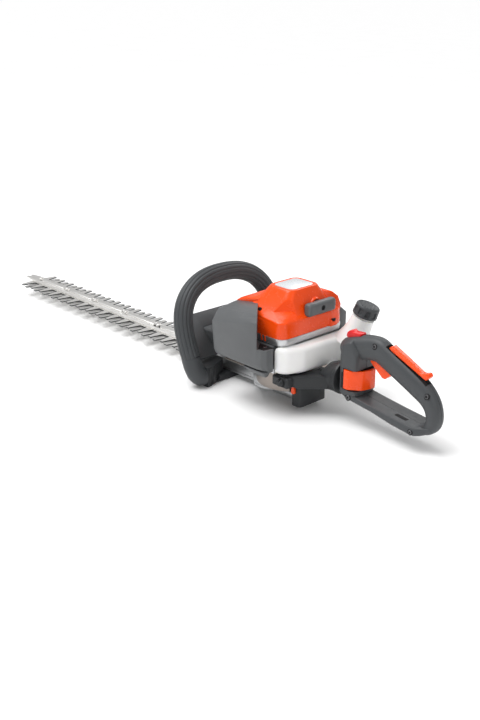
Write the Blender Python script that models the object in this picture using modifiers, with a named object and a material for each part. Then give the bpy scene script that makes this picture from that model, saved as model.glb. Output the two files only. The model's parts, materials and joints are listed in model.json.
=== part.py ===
"""Petrol hedge trimmer with a double-sided cutter bar and a swivelling rear handle.

Millimetre values are converted to metres by mm(). X runs from the bar tip to the rear
handle, Y to the user's right, Z up from the ground. Every position is measured from the
crankshaft axis (X = 0, Y = 0) and the root empty moves the whole machine so that its
origin is the bottom centre of its box.
"""
import math

import bmesh
import bpy
from mathutils import Matrix, Vector


def mm(value):
    """Millimetres to Blender's metres."""
    return value * 0.001


# ---------------------------------------------------------------- driving dimensions (mm)
CLEARANCE = 0.3            # gap kept between touching pieces
RUNNING_GAP = 0.6          # gap kept between pieces that move past each other
WALL = 2.5                 # moulded plastic walls

BAR_TIP_X = -783.8         # tip of the guide bar
TOOTH_PITCH = 33.0
TOOTH_COUNT = 17
TOOTH_TIP_Y = 39.8         # half width over the teeth
TOOTH_ROOT_Y = 15.0        # half width of the blade's spine
TOOTH_BASE = 15.0          # tooth width where it leaves the spine
TOOTH_TIP = 7.0            # tooth width at its tip
FIRST_TOOTH_X = -738.0     # middle of the first tooth
BLADE_THICKNESS = 2.2
BLADE_Z = 22.0             # plane where the two blades meet
BLADE_SLOT_WIDTH = 8.4
BLADE_STROKE = 16.0        # full travel of each blade
BLADE_REST = 6.0           # where each blade has stopped, from the middle of its stroke
BAR_HALF_WIDTH = 12.5
BAR_THICKNESS = 2.8
BAR_SPINE_HALF_WIDTH = 5.0
BAR_SPINE_HEIGHT = 3.2
BLADE_BOLT_COUNT = 6
BLADE_BOLT_SPACING = 99.0
FIRST_BOLT_X = -735.5
BOLT_SHANK_RADIUS = 3.0
BOLT_HEAD_RADIUS = 6.0
BOLT_HEAD_HEIGHT = 3.5
NUT_RADIUS = 5.2
NUT_HEIGHT = 4.0

PINION_TEETH = 12
GEAR_TEETH = 48
GEAR_MODULE = 1.25
GEAR_THICKNESS = 6.0
GEAR_BOTTOM_Z = 27.0
ECCENTRIC_RADIUS = 13.0
GEAR_SHAFT_RADIUS = 4.5
ROD_WIDTH = 12.0
ROD_PIN_RADIUS = 4.0
ROD_LENGTH = 62.0
ROD_THICKNESS = 2.0
ROD_GAP = 0.35             # height between a rod's eye and its blade, where the linkage is open

GEARCASE_WALL = 3.5
GEARCASE_TOP_Z = 36.0
GEARCASE_FLOOR_Z = 12.0
GEARCASE_SPLIT_Z = 16.0
SKID_X = (-34.0, 16.0)
SKID_HALF_WIDTH = 13.0
FRONT_BOX_X = (-183.0, -78.0)
FRONT_BOX_HALF_WIDTH = 33.0
FRONT_BOX_TOP_Z = 76.0

PAN_RADIUS = 56.0
PAN_REAR_X = 36.5          # the pan is cut flat ahead of the filter box
PAN_BOTTOM_Z = 36.6
PAN_LIP_Z = 29.5
PAN_TOP_Z = 58.0
DRUM_RADIUS = 32.0
DRUM_Z = (40.5, 54.5)
CLUTCH_SHOE_RADIUS = 28.5
CLUTCH_Z = (44.0, 53.0)

CRANKCASE_HALF = 36.0
CRANKCASE_Z = (58.3, 104.0)
CRANK_THROW = 11.0
CRANK_WEB_RADIUS = 21.0
CRANK_WEB_THICKNESS = 7.0
CRANK_MID_Z = 85.0
ROD_BEAM_THICKNESS = 7.0
SHAFT_RADIUS = 6.0
CYLINDER_BORE_RADIUS = 16.0
CYLINDER_WALL = 3.5
CYLINDER_BASE_Y = -38.0
CYLINDER_HEAD_Y = -68.0
FIN_COUNT = 5
FIN_HALF = 25.0
FIN_Z = (62.0, 103.0)
PISTON_LENGTH = 17.5
PIN_OFFSET = 10.0          # from the crown to the piston pin
PLUG_RADIUS = 5.0
PLUG_END_Y = -78.5
CARBURETTOR_TOP_Z = 61.6
CARBURETTOR_FACE_Y = -68.0
PRIMER_PLACE = (44.0, 53.7)    # X and Z of the primer bulb
PRIMER_RADIUS = 6.0
PRIMER_TRAVEL = 4.0

FAN_HOUSING_Z = (109.5, 118.0)
FAN_HOUSING_X = (-58.0, 43.0)
FAN_HOUSING_HALF_WIDTH = 67.0
FAN_RADIUS = 38.0
FLYWHEEL_Z = (112.5, 131.0)

COVER_TOP_Z = 184.0
COVER_TOP_HALF_X = 24.0
COVER_TOP_HALF_Y = 29.0
PLATE_HALF_X = 20.0
PLATE_HALF_Y = 25.0
PLATE_THICKNESS = 1.2
PULLEY_RADIUS = 24.0
PULLEY_Z = (148.0, 161.0)
RECOIL_Z = (162.5, 172.0)
ROPE_RADIUS = 1.6
ROPE_Y = 14.0
ROPE_Z = 154.5
BOSS_RADIUS = 10.5
BOSS_END_X = 26.0
GRIP_X = 46.0
GRIP_HALF_LENGTH = 29.0
GRIP_HALF_HEIGHT = 10.5
GRIP_HALF_DEPTH = 7.0

LEFT_COVER_X = (-80.0, 54.0)
LEFT_COVER_Y = -98.0
LEFT_COVER_Z = (70.0, 152.0)
RIGHT_COVER_X = (-62.0, 30.0)
RIGHT_COVER_Y = 93.0
RIGHT_COVER_Z = (74.0, 150.0)

TANK_Z = (66.0, 106.0)
TANK_WALL = 2.2
TANK_LEFT_X = 34.4
CAP_CENTRE = (89.5, 66.0, 149.0)
CAP_RADIUS = 19.5
CAP_HEIGHT = 18.0
CAP_TILT = 20.0            # degrees from upright
CAP_HEADING = 35.0         # direction of the lean, degrees from the rear to the right
NECK_BORE_RADIUS = 12.0
NECK_RADIUS = 15.0

FILTER_BOX_X = (37.5, 58.0)
FILTER_BOX_Y = (-42.0, 18.0)
FILTER_BOX_Z = (9.0, 49.0)

SWIVEL_Z = 64.0            # height of the handle's swivel axis
COLLAR_X = (103.0, 110.0)
COLLAR_RADIUS = 26.0
SPIGOT_RADIUS = 15.0
HANDLE_HALF_WIDTH = 14.0
RAIL_HALF_WIDTH = 22.0
COLUMN_HALF_WIDTH = 24.0
HANDLE_WALL = 3.0
TRIGGER_PIVOT = (169.0, 131.0)
LOCKOUT_PIVOT = (198.0, 133.0)
SWITCH_PIVOT = (128.0, 132.5)

FRONT_HANDLE_RADIUS = 15.5
FRONT_TUBE_RADIUS = 10.2
FRONT_HALF_WIDTH = 99.5    # middle of the tube
FRONT_TOP_Z = 166.5
FRONT_FOOT_Z = 17.0
FRONT_FOOT_Y = 78.0
FRONT_FOOT_X = -126.0
FRONT_LEAN = 15.3          # degrees, top towards the bar
GRIP_START_Z = 50.0        # the ridged grip covers the tube above this height

GUARD_BOTTOM = (-140.0, 37.0)
GUARD_TOP = (-203.0, 98.0)
GUARD_HALF_WIDTHS = (80.0, 50.0)
GUARD_THICKNESS = 3.5

REAR_END_X = 288.0         # before the handle's rear corner is rounded
REAR_REACH_X = 287.45      # after it
MODEL_SHIFT_X = -(BAR_TIP_X + REAR_REACH_X) / 2.0

# ------------------------------------------------------------------- derived dimensions
PINION_RADIUS = PINION_TEETH * GEAR_MODULE / 2.0
GEAR_RADIUS = GEAR_TEETH * GEAR_MODULE / 2.0
GEAR_X = -(PINION_RADIUS + GEAR_RADIUS)
HALF_STROKE = BLADE_STROKE / 2.0
ECCENTRIC_Y = math.sqrt(HALF_STROKE ** 2 - BLADE_REST ** 2)
UPPER_BLADE_Z = (BLADE_Z + CLEARANCE / 2, BLADE_Z + CLEARANCE / 2 + BLADE_THICKNESS)
LOWER_BLADE_Z = (BLADE_Z - CLEARANCE / 2 - BLADE_THICKNESS, BLADE_Z - CLEARANCE / 2)
BAR_Z = (UPPER_BLADE_Z[1] + CLEARANCE, UPPER_BLADE_Z[1] + CLEARANCE + BAR_THICKNESS)
BLADE_PIN_X = GEAR_X - ROD_LENGTH


# ------------------------------------------------------------------------ scene helpers
def clear_scene():
    for obj in list(bpy.data.objects):
        bpy.data.objects.remove(obj, do_unlink=True)


def make_collection(name):
    collection = bpy.data.collections.new(name)
    bpy.context.scene.collection.children.link(collection)
    return collection


clear_scene()
PARTS = make_collection("hedge_trimmer")
ROOT = bpy.data.objects.new("root", None)
ROOT.location = (mm(MODEL_SHIFT_X), 0.0, 0.0)
PARTS.objects.link(ROOT)


def material(name, colour, roughness, metallic=0.0):
    mat = bpy.data.materials.new(name)
    mat.use_nodes = True
    shader = mat.node_tree.nodes["Principled BSDF"]
    shader.inputs["Base Color"].default_value = (*colour, 1.0)
    shader.inputs["Roughness"].default_value = roughness
    shader.inputs["Metallic"].default_value = metallic
    return mat


MATERIALS = {
    "orange": material("orange_plastic", (0.87, 0.09, 0.01), 0.32),
    "cover_gray": material("cover_gray_plastic", (0.11, 0.12, 0.125), 0.42),
    "dark_gray": material("dark_gray_plastic", (0.055, 0.06, 0.062), 0.5),
    "rubber": material("grip_rubber", (0.045, 0.05, 0.05), 0.7),
    "black": material("black_plastic", (0.02, 0.022, 0.024), 0.55),
    "tank_white": material("tank_polyethylene", (0.82, 0.82, 0.8), 0.45),
    "silver": material("cast_aluminium", (0.55, 0.56, 0.57), 0.42, 0.6),
    "steel": material("blade_steel", (0.62, 0.61, 0.59), 0.35, 0.9),
    "taupe": material("magnesium_cover", (0.42, 0.38, 0.35), 0.4, 0.6),
    "red": material("switch_red", (0.75, 0.02, 0.025), 0.35),
    "label": material("label_plate", (0.72, 0.75, 0.8), 0.3),
}


def shade(obj, angle=35.0):
    obj.data.shade_smooth()
    obj.data.set_sharp_from_angle(angle=math.radians(angle))


def apply_modifiers(obj):
    """Replace the object's mesh by its evaluated one and drop the modifiers."""
    depsgraph = bpy.context.evaluated_depsgraph_get()
    mesh = bpy.data.meshes.new_from_object(obj.evaluated_get(depsgraph))
    obj.modifiers.clear()
    obj.data = mesh


def new_object(name, mesh, collection=PARTS):
    obj = bpy.data.objects.new(name, mesh)
    collection.objects.link(obj)
    return obj


def from_bmesh(name, bm, collection=PARTS):
    mesh = bpy.data.meshes.new(name)
    bm.to_mesh(mesh)
    bm.free()
    return new_object(name, mesh, collection)


def part(obj, name, slot, pivot=(0.0, 0.0, 0.0)):
    """Name a finished solid, give it its material and put its origin on its pivot (mm)."""
    origin = Vector([mm(v) for v in pivot])
    obj.data.transform(Matrix.Translation(-origin) @ obj.matrix_basis)
    obj.matrix_basis = Matrix.Translation(origin)
    obj.parent = ROOT
    obj.name = name
    obj.data.name = name
    obj.data.materials.clear()
    obj.data.materials.append(MATERIALS[slot])
    shade(obj)
    return obj


# ------------------------------------------------------------------------ shape helpers
def box(x, y, z, bevel=0.0, segments=2):
    """A box from three (low, high) ranges, with rounded edges."""
    bm = bmesh.new()
    bmesh.ops.create_cube(bm, size=1.0)
    size = Vector((x[1] - x[0], y[1] - y[0], z[1] - z[0]))
    middle = Vector((x[0] + x[1], y[0] + y[1], z[0] + z[1])) / 2.0
    bmesh.ops.scale(bm, verts=bm.verts, vec=[mm(v) for v in size])
    bmesh.ops.translate(bm, verts=bm.verts, vec=[mm(v) for v in middle])
    obj = from_bmesh("box", bm)
    if bevel:
        round_edges(obj, bevel, segments)
    return obj


def round_edges(obj, width, segments=2, angle=30.0):
    bevel = obj.modifiers.new("rounded_edges", 'BEVEL')
    bevel.width = mm(width)
    bevel.segments = segments
    bevel.limit_method = 'ANGLE'
    bevel.angle_limit = math.radians(angle)
    bevel.use_clamp_overlap = True
    apply_modifiers(obj)
    return obj


def cylinder(centre, radius, z, segments=24):
    """An upright cylinder between two heights."""
    bm = bmesh.new()
    bmesh.ops.create_cone(bm, cap_ends=True, segments=segments, radius1=mm(radius),
                          radius2=mm(radius), depth=mm(z[1] - z[0]))
    bmesh.ops.translate(bm, verts=bm.verts, vec=(mm(centre[0]), mm(centre[1]), mm((z[0] + z[1]) / 2.0)))
    return from_bmesh("cylinder", bm)


def rod(start, end, radius, segments=16, end_radius=None):
    """A round bar between two points."""
    a = Vector([mm(v) for v in start])
    b = Vector([mm(v) for v in end])
    bm = bmesh.new()
    bmesh.ops.create_cone(
        bm, cap_ends=True, segments=segments, radius1=mm(radius),
        radius2=mm(radius if end_radius is None else end_radius), depth=(b - a).length)
    turn = (b - a).to_track_quat('Z', 'Y').to_matrix().to_4x4()
    bmesh.ops.transform(bm, verts=bm.verts, matrix=Matrix.Translation((a + b) / 2.0) @ turn)
    return from_bmesh("rod", bm)


def turned(profile, steps=40, centre=(0.0, 0.0)):
    """A solid of revolution about an upright axis; profile is (radius, height), outer side down."""
    mesh = bpy.data.meshes.new("profile")
    points = [(mm(r), 0.0, mm(z)) for r, z in profile]
    edges = [(i, i + 1) for i in range(len(points) - 1)]
    if profile[0][0] > 0.01:
        edges.append((len(points) - 1, 0))
    mesh.from_pydata(points, edges, [])
    obj = new_object("turned", mesh)
    screw = obj.modifiers.new("turn", 'SCREW')
    screw.axis = 'Z'
    screw.steps = steps
    screw.render_steps = steps
    screw.use_merge_vertices = True
    screw.merge_threshold = 0.00001
    screw.use_smooth_shade = True
    apply_modifiers(obj)
    tidy(obj)
    obj.data.transform(Matrix.Translation((mm(centre[0]), mm(centre[1]), 0.0)))
    return obj


def tidy(obj, distance=0.000002):
    """Merge doubled points and turn every face outwards."""
    bm = bmesh.new()
    bm.from_mesh(obj.data)
    bmesh.ops.remove_doubles(bm, verts=bm.verts, dist=distance)
    bmesh.ops.recalc_face_normals(bm, faces=bm.faces)
    bm.to_mesh(obj.data)
    bm.free()
    return obj


def prism(outline, low, high, axis='Z', holes=()):
    """A flat outline with holes, extruded along Z, Y or X between two values."""
    curve = bpy.data.curves.new("outline", 'CURVE')
    curve.dimensions = '2D'
    curve.fill_mode = 'BOTH'
    curve.extrude = mm(high - low) / 2.0
    for loop in (outline, *holes):
        spline = curve.splines.new('POLY')
        spline.points.add(len(loop) - 1)
        for point, (a, b) in zip(spline.points, loop):
            point.co = (mm(a), mm(b), 0.0, 1.0)
        spline.use_cyclic_u = True
    guide = new_object("outline", curve)
    middle = mm(low + high) / 2.0
    if axis == 'Z':
        guide.matrix_world = Matrix.Translation((0.0, 0.0, middle))
    elif axis == 'Y':
        guide.matrix_world = Matrix.Translation((0.0, middle, 0.0)) @ Matrix.Rotation(math.pi / 2, 4, 'X')
    else:
        turn = Matrix(((0, 0, 1, 0), (1, 0, 0, 0), (0, 1, 0, 0), (0, 0, 0, 1)))
        guide.matrix_world = Matrix.Translation((middle, 0.0, 0.0)) @ turn
    return curve_to_mesh(guide)


def curve_to_mesh(guide):
    """The curve's solid as a mesh with welded caps."""
    depsgraph = bpy.context.evaluated_depsgraph_get()
    mesh = bpy.data.meshes.new_from_object(guide.evaluated_get(depsgraph))
    place = guide.matrix_world.copy()
    bpy.data.objects.remove(guide, do_unlink=True)
    mesh.transform(place)
    obj = new_object("from_curve", mesh)
    return tidy(obj)


def tube(points, radius, sides=2, radii=None):
    """A round bar along a list of points, with flat ends; radii gives each point its own radius."""
    curve = bpy.data.curves.new("path", 'CURVE')
    curve.dimensions = '3D'
    curve.bevel_depth = mm(radius)
    curve.bevel_resolution = sides
    curve.use_fill_caps = True
    spline = curve.splines.new('POLY')
    spline.points.add(len(points) - 1)
    for i, place in enumerate(points):
        spline.points[i].co = (*[mm(v) for v in place], 1.0)
        spline.points[i].radius = radii[i] / radius if radii else 1.0
    return curve_to_mesh(new_object("path", curve))


def boolean(obj, tool, operation):
    """Join or cut with another solid, which is used up."""
    step = obj.modifiers.new(operation.lower(), 'BOOLEAN')
    step.operation = operation
    step.solver = 'EXACT'
    step.object = tool
    apply_modifiers(obj)
    bpy.data.objects.remove(tool, do_unlink=True)
    return obj


def cut(obj, *tools):
    for tool in tools:
        boolean(obj, tool, 'DIFFERENCE')
    return obj


def join(obj, *tools):
    for tool in tools:
        boolean(obj, tool, 'UNION')
    return obj


def circle(centre, radius, count=24, start=0.0, sweep=360.0):
    """Points on a circle or, with a smaller sweep, on an arc (degrees)."""
    full = abs(sweep) >= 360.0
    steps = count if full else count - 1
    return [(centre[0] + radius * math.cos(math.radians(start + sweep * i / steps)),
             centre[1] + radius * math.sin(math.radians(start + sweep * i / steps)))
            for i in range(count)]


def rounded(corners, radius, steps=4):
    """The corners of an outline replaced by arcs; radius is one value or one for each corner."""
    count = len(corners)
    radii = radius if isinstance(radius, (list, tuple)) else [radius] * count
    outline = []
    for i, corner in enumerate(corners):
        here = Vector(corner)
        before = Vector(corners[i - 1]) - here
        after = Vector(corners[(i + 1) % count]) - here
        half = before.angle(after) / 2.0
        reach = min(radii[i] / math.tan(half), 0.48 * before.length, 0.48 * after.length)
        if reach < 0.05:
            outline.append(tuple(here))
            continue
        start = here + before.normalized() * reach
        end = here + after.normalized() * reach
        middle = here + (before.normalized() + after.normalized()).normalized() * reach / math.cos(half)
        turn_from = start - middle
        turn = turn_from.angle_signed(end - middle)
        for k in range(steps + 1):
            arm = Vector(turn_from)
            arm.rotate(Matrix.Rotation(-turn * k / steps, 2))
            outline.append(tuple(middle + arm))
    return outline


def inset(outline, distance):
    """The outline moved inwards by a distance, for either direction of travel."""
    count = len(outline)
    area = sum(outline[i - 1][0] * outline[i][1] - outline[i][0] * outline[i - 1][1]
               for i in range(count))
    side = 1.0 if area > 0 else -1.0
    moved = []
    for i in range(count):
        a = Vector(outline[i - 1])
        b = Vector(outline[i])
        c = Vector(outline[(i + 1) % count])
        first = (b - a).normalized()
        second = (c - b).normalized()
        normal_a = Vector((-first.y, first.x)) * side
        normal_b = Vector((-second.y, second.x)) * side
        bisector = (normal_a + normal_b).normalized()
        moved.append(tuple(b + bisector * distance / max(0.35, bisector.dot(normal_a))))
    return moved


def loft(sections):
    """A closed skin through rings with the same number of points (mm)."""
    bm = bmesh.new()
    rings = [[bm.verts.new([mm(v) for v in point]) for point in ring] for ring in sections]
    for low, high in zip(rings, rings[1:]):
        for i in range(len(low)):
            j = (i + 1) % len(low)
            bm.faces.new((low[i], low[j], high[j], high[i]))
    bm.faces.new(list(reversed(rings[0])))
    bm.faces.new(rings[-1])
    bmesh.ops.recalc_face_normals(bm, faces=bm.faces)
    return from_bmesh("loft", bm)


def level(outline, z):
    """A flat outline lifted to a height."""
    return [(x, y, z) for x, y in outline]


def rectangle(x, y, radius, steps=3):
    """A rectangle with rounded corners from two (low, high) ranges."""
    return rounded([(x[0], y[0]), (x[1], y[0]), (x[1], y[1]), (x[0], y[1])], radius, steps)


# ---------------------------------------------------------------------- cutting assembly
def blade_outline(shift):
    """Spine and teeth of a double-sided blade as one outline, moved along X by shift."""
    front = FIRST_TOOTH_X - TOOTH_BASE / 2 - 6.0 + shift
    rear = BLADE_PIN_X + 9.0 + shift
    near = []
    for i in range(TOOTH_COUNT):
        x = FIRST_TOOTH_X + i * TOOTH_PITCH + shift
        near += [(x - TOOTH_BASE / 2, -TOOTH_ROOT_Y), (x - TOOTH_TIP / 2, -TOOTH_TIP_Y),
                 (x + TOOTH_TIP / 2, -TOOTH_TIP_Y), (x + TOOTH_BASE / 2, -TOOTH_ROOT_Y)]
    shoulder = near[-1][0] + 8.0
    tail = 11.0
    lower = [(front, -8.0)] + near + [(shoulder, -tail), (rear, -tail)]
    return lower + [(x, -y) for x, y in reversed(lower)]


def slot(x, travel, width):
    """A slot with round ends around a bolt."""
    return rounded([(x - travel / 2 - width / 2, -width / 2), (x + travel / 2 + width / 2, -width / 2),
                    (x + travel / 2 + width / 2, width / 2), (x - travel / 2 - width / 2, width / 2)],
                   width / 2 - 0.05, 2)


def bolt_places():
    return [FIRST_BOLT_X + i * BLADE_BOLT_SPACING for i in range(BLADE_BOLT_COUNT)]


def make_blade(name, z, shift):
    slots = [slot(x + shift, BLADE_STROKE, BLADE_SLOT_WIDTH) for x in bolt_places()]
    pin_hole = circle((BLADE_PIN_X + shift, 0.0), ROD_PIN_RADIUS + CLEARANCE, 16)
    blade = prism(blade_outline(shift), z[0], z[1], holes=[*slots, pin_hole])
    part(blade, name, "steel")


def make_guide_bar():
    half = BAR_HALF_WIDTH
    tip = BAR_TIP_X
    rear = FRONT_BOX_X[0] + 30.0
    outline = [(rear, -half), (rear, half), (tip + 28.0, half), (tip + 6.0, 9.0), (tip, 7.0),
               (tip + 3.0, 3.0), (tip + 10.0, 0.0), (tip + 3.0, -3.0), (tip, -7.0),
               (tip + 6.0, -9.0), (tip + 28.0, -half)]
    bar = prism(outline, *BAR_Z)
    gaps = bolt_places() + [rear + 6.0 + NUT_RADIUS]
    start = gaps[0] + NUT_RADIUS + 4.0
    for end in gaps[1:]:
        spine = box((start, end - NUT_RADIUS - 4.0), (-BAR_SPINE_HALF_WIDTH, BAR_SPINE_HALF_WIDTH),
                    (BAR_Z[1] - 1.8, BAR_Z[1] + BAR_SPINE_HEIGHT), 1.2, 1)
        join(bar, spine)
        start = end + NUT_RADIUS + 4.0
    for x in bolt_places():
        cut(bar, cylinder((x, 0.0), BOLT_SHANK_RADIUS + CLEARANCE, (BAR_Z[0] - 2.0, BAR_Z[1] + 2.0), 12))
    part(bar, "guide_bar", "steel")


def make_blade_bolts():
    """A bolt from below with a shank through both blades and the bar, and its nut on top."""
    head_top = LOWER_BLADE_Z[0] - CLEARANCE
    for number, x in enumerate(bolt_places(), start=1):
        profile = [(0.0, BAR_Z[1] + CLEARANCE + NUT_HEIGHT + 1.2),
                   (BOLT_SHANK_RADIUS, BAR_Z[1] + CLEARANCE + NUT_HEIGHT + 1.2),
                   (BOLT_SHANK_RADIUS, BAR_Z[1] + CLEARANCE + NUT_HEIGHT),
                   (NUT_RADIUS, BAR_Z[1] + CLEARANCE + NUT_HEIGHT),
                   (NUT_RADIUS, BAR_Z[1] + CLEARANCE),
                   (BOLT_SHANK_RADIUS, BAR_Z[1] + CLEARANCE),
                   (BOLT_SHANK_RADIUS, head_top),
                   (BOLT_HEAD_RADIUS, head_top),
                   (BOLT_HEAD_RADIUS, head_top - BOLT_HEAD_HEIGHT),
                   (0.0, head_top - BOLT_HEAD_HEIGHT)]
        part(turned(profile, 12, (x, 0.0)), f"blade_bolt_{number}", "steel")


# ---------------------------------------------------------------------------- gear drive
def gear_outline(teeth, radius, centre, turn=0.0):
    """Simple trapezoid teeth around the pitch circle."""
    points = []
    pitch = 360.0 / teeth
    for i in range(teeth):
        middle = turn + i * pitch
        for angle, r in ((-0.27, -1.15), (-0.13, 0.85), (0.13, 0.85), (0.27, -1.15)):
            a = math.radians(middle + angle * pitch)
            reach = radius + r * GEAR_MODULE
            points.append((centre[0] + reach * math.cos(a), centre[1] + reach * math.sin(a)))
    return points


def rod_heights():
    """The upper rod lies on top of the upper blade, the lower rod under the lower blade."""
    upper = UPPER_BLADE_Z[1] + ROD_GAP
    lower = LOWER_BLADE_Z[0] - ROD_GAP
    return (upper, upper + ROD_THICKNESS), (lower - ROD_THICKNESS, lower)


def eccentric_place(side):
    """Middle of the upper (side = 1) or lower (side = -1) eccentric at rest."""
    return (GEAR_X - side * BLADE_REST, side * ECCENTRIC_Y)


def make_drive_gear():
    """The large gear with its shaft and the two eccentrics, half a turn apart."""
    upper, lower = rod_heights()
    centre = (GEAR_X, 0.0)
    gear = prism(gear_outline(GEAR_TEETH, GEAR_RADIUS, centre), GEAR_BOTTOM_Z, GEAR_BOTTOM_Z + GEAR_THICKNESS)
    join(gear, cylinder(centre, GEAR_SHAFT_RADIUS, (GEARCASE_FLOOR_Z + 2.6, GEARCASE_TOP_Z - 1.0), 20),
         cylinder(eccentric_place(1.0), ECCENTRIC_RADIUS, (upper[0], GEAR_BOTTOM_Z + 0.5), 24),
         cylinder(eccentric_place(-1.0), ECCENTRIC_RADIUS, lower, 24))
    part(gear, "drive_gear", "steel", (GEAR_X, 0.0, GEAR_BOTTOM_Z))


def make_drive_rod(name, z, side):
    """A strap around one eccentric, with an arm and an eye over the blade's pin hole."""
    x, y = eccentric_place(side)
    eye_x = x - ROD_LENGTH
    inner = ECCENTRIC_RADIUS + RUNNING_GAP
    strap = prism(circle((x, y), inner + 3.0, 24), *z, holes=[circle((x, y), inner, 24)])
    arm = box((eye_x, x - inner - 1.0), (y - ROD_WIDTH / 2, y + ROD_WIDTH / 2), z)
    eye = cylinder((eye_x, y), ROD_WIDTH / 2 + 1.0, z, 20)
    join(strap, arm, eye)
    cut(strap, cylinder((eye_x, y), ROD_PIN_RADIUS + CLEARANCE, (z[0] - 2.0, z[1] + 2.0), 16))
    part(strap, name, "steel", (x, y, z[0]))


def gearcase_outline(grow=0.0):
    """The teardrop around the gear and the pinion, open-ended towards the bar."""
    lobe = GEAR_RADIUS + 5.0 + grow
    small = PINION_RADIUS + 6.0 + grow
    front = FRONT_BOX_X[0] + 12.0 - grow
    half = 22.0 + grow
    spread = math.degrees(math.asin(half / lobe))
    rear = circle((0.0, 0.0), small, 7, -70.0, 140.0)
    big_far = circle((GEAR_X, 0.0), lobe, 9, 62.0, 180.0 - spread - 62.0)
    big_near = [(x, -y) for x, y in reversed(big_far)]
    return rear + big_far + [(front, half), (front, -half)] + big_near


def make_gearcase():
    upper = prism(gearcase_outline(), GEARCASE_SPLIT_Z + CLEARANCE, GEARCASE_TOP_Z)
    hollow = prism(inset(gearcase_outline(), GEARCASE_WALL), GEARCASE_SPLIT_Z - 2.0, GEARCASE_TOP_Z - 2.4)
    mouth = box((FRONT_BOX_X[0] - 10.0, FRONT_BOX_X[0] + 20.0), (-13.5, 13.5),
                (GEARCASE_SPLIT_Z - 2.0, BAR_Z[1] + 4.2))
    shaft_hole = cylinder((0.0, 0.0), SHAFT_RADIUS + RUNNING_GAP, (GEARCASE_TOP_Z - 5.0, GEARCASE_TOP_Z + 5.0), 20)
    gear_hole = cylinder((GEAR_X, 0.0), GEAR_SHAFT_RADIUS + RUNNING_GAP,
                         (GEARCASE_TOP_Z - 5.0, GEARCASE_TOP_Z + 5.0), 20)
    cut(upper, hollow, mouth, shaft_hole, gear_hole)
    part(upper, "gearcase_upper", "silver")
    lower = prism(gearcase_outline(), GEARCASE_FLOOR_Z, GEARCASE_SPLIT_Z)
    tray = prism(inset(gearcase_outline(), GEARCASE_WALL), GEARCASE_FLOOR_Z + 2.0, GEARCASE_SPLIT_Z + 2.0)
    front_mouth = box((FRONT_BOX_X[0] - 10.0, FRONT_BOX_X[0] + 20.0), (-13.5, 13.5),
                      (GEARCASE_FLOOR_Z + 2.0, GEARCASE_SPLIT_Z + 2.0))
    cut(lower, tray, front_mouth)
    join(lower, box(SKID_X, (-SKID_HALF_WIDTH, SKID_HALF_WIDTH), (0.0, GEARCASE_FLOOR_Z + 1.0), 4.0, 2))
    part(lower, "gearcase_lower", "silver")


# --------------------------------------------------------------------------------- clutch
def make_clutch_drum():
    """The drum with the pinion on its shaft below."""
    wall = 2.5
    shaft_end = GEAR_BOTTOM_Z + 0.5
    drum = turned([(0.0, DRUM_Z[0] + wall), (DRUM_RADIUS - wall, DRUM_Z[0] + wall),
                   (DRUM_RADIUS - wall, DRUM_Z[1]), (DRUM_RADIUS, DRUM_Z[1]), (DRUM_RADIUS, DRUM_Z[0]),
                   (SHAFT_RADIUS, DRUM_Z[0]), (SHAFT_RADIUS, shaft_end), (0.0, shaft_end)], 32)
    teeth = gear_outline(PINION_TEETH, PINION_RADIUS, (0.0, 0.0), 180.0 / PINION_TEETH)
    join(drum, prism(teeth, GEAR_BOTTOM_Z, GEAR_BOTTOM_Z + GEAR_THICKNESS))
    part(drum, "clutch_drum", "steel", (0.0, 0.0, DRUM_Z[0]))


def make_clutch_hub():
    """A hub with two shoes, each joined to it at one end."""
    bore = circle((0.0, 0.0), SHAFT_RADIUS + CLEARANCE, 16)
    hub = prism(circle((0.0, 0.0), CLUTCH_SHOE_RADIUS, 24), *CLUTCH_Z, holes=[bore])
    cut_z = (CLUTCH_Z[0] - 2.0, CLUTCH_Z[1] + 2.0)
    reach = CLUTCH_SHOE_RADIUS + 5.0
    cut(hub, box((-14.0, reach), (10.0, 13.0), cut_z), box((-reach, 14.0), (-13.0, -10.0), cut_z))
    part(hub, "clutch_hub", "steel")


def pan_outline(grow=0.0):
    """The pan's circle, cut flat towards the filter box."""
    radius = PAN_RADIUS + grow
    half = math.degrees(math.acos(PAN_REAR_X / radius))
    return circle((0.0, 0.0), radius, 30, half, 360.0 - 2.0 * half)


def make_clutch_cover():
    """The pan under the crankcase, with a lip, cut away where the gearcase passes below it."""
    floor = PAN_BOTTOM_Z + 2.2
    pan = prism(pan_outline(), PAN_LIP_Z, PAN_TOP_Z)
    cut(pan, prism(inset(pan_outline(), 2.2), PAN_LIP_Z - 2.0, PAN_BOTTOM_Z),
        prism(inset(pan_outline(), 3.0), floor, PAN_TOP_Z + 2.0),
        cylinder((0.0, 0.0), SHAFT_RADIUS + RUNNING_GAP, (PAN_LIP_Z, PAN_TOP_Z), 20),
        prism(gearcase_outline(RUNNING_GAP), PAN_LIP_Z - 3.0, PAN_BOTTOM_Z))
    part(pan, "clutch_cover", "taupe")


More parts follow.
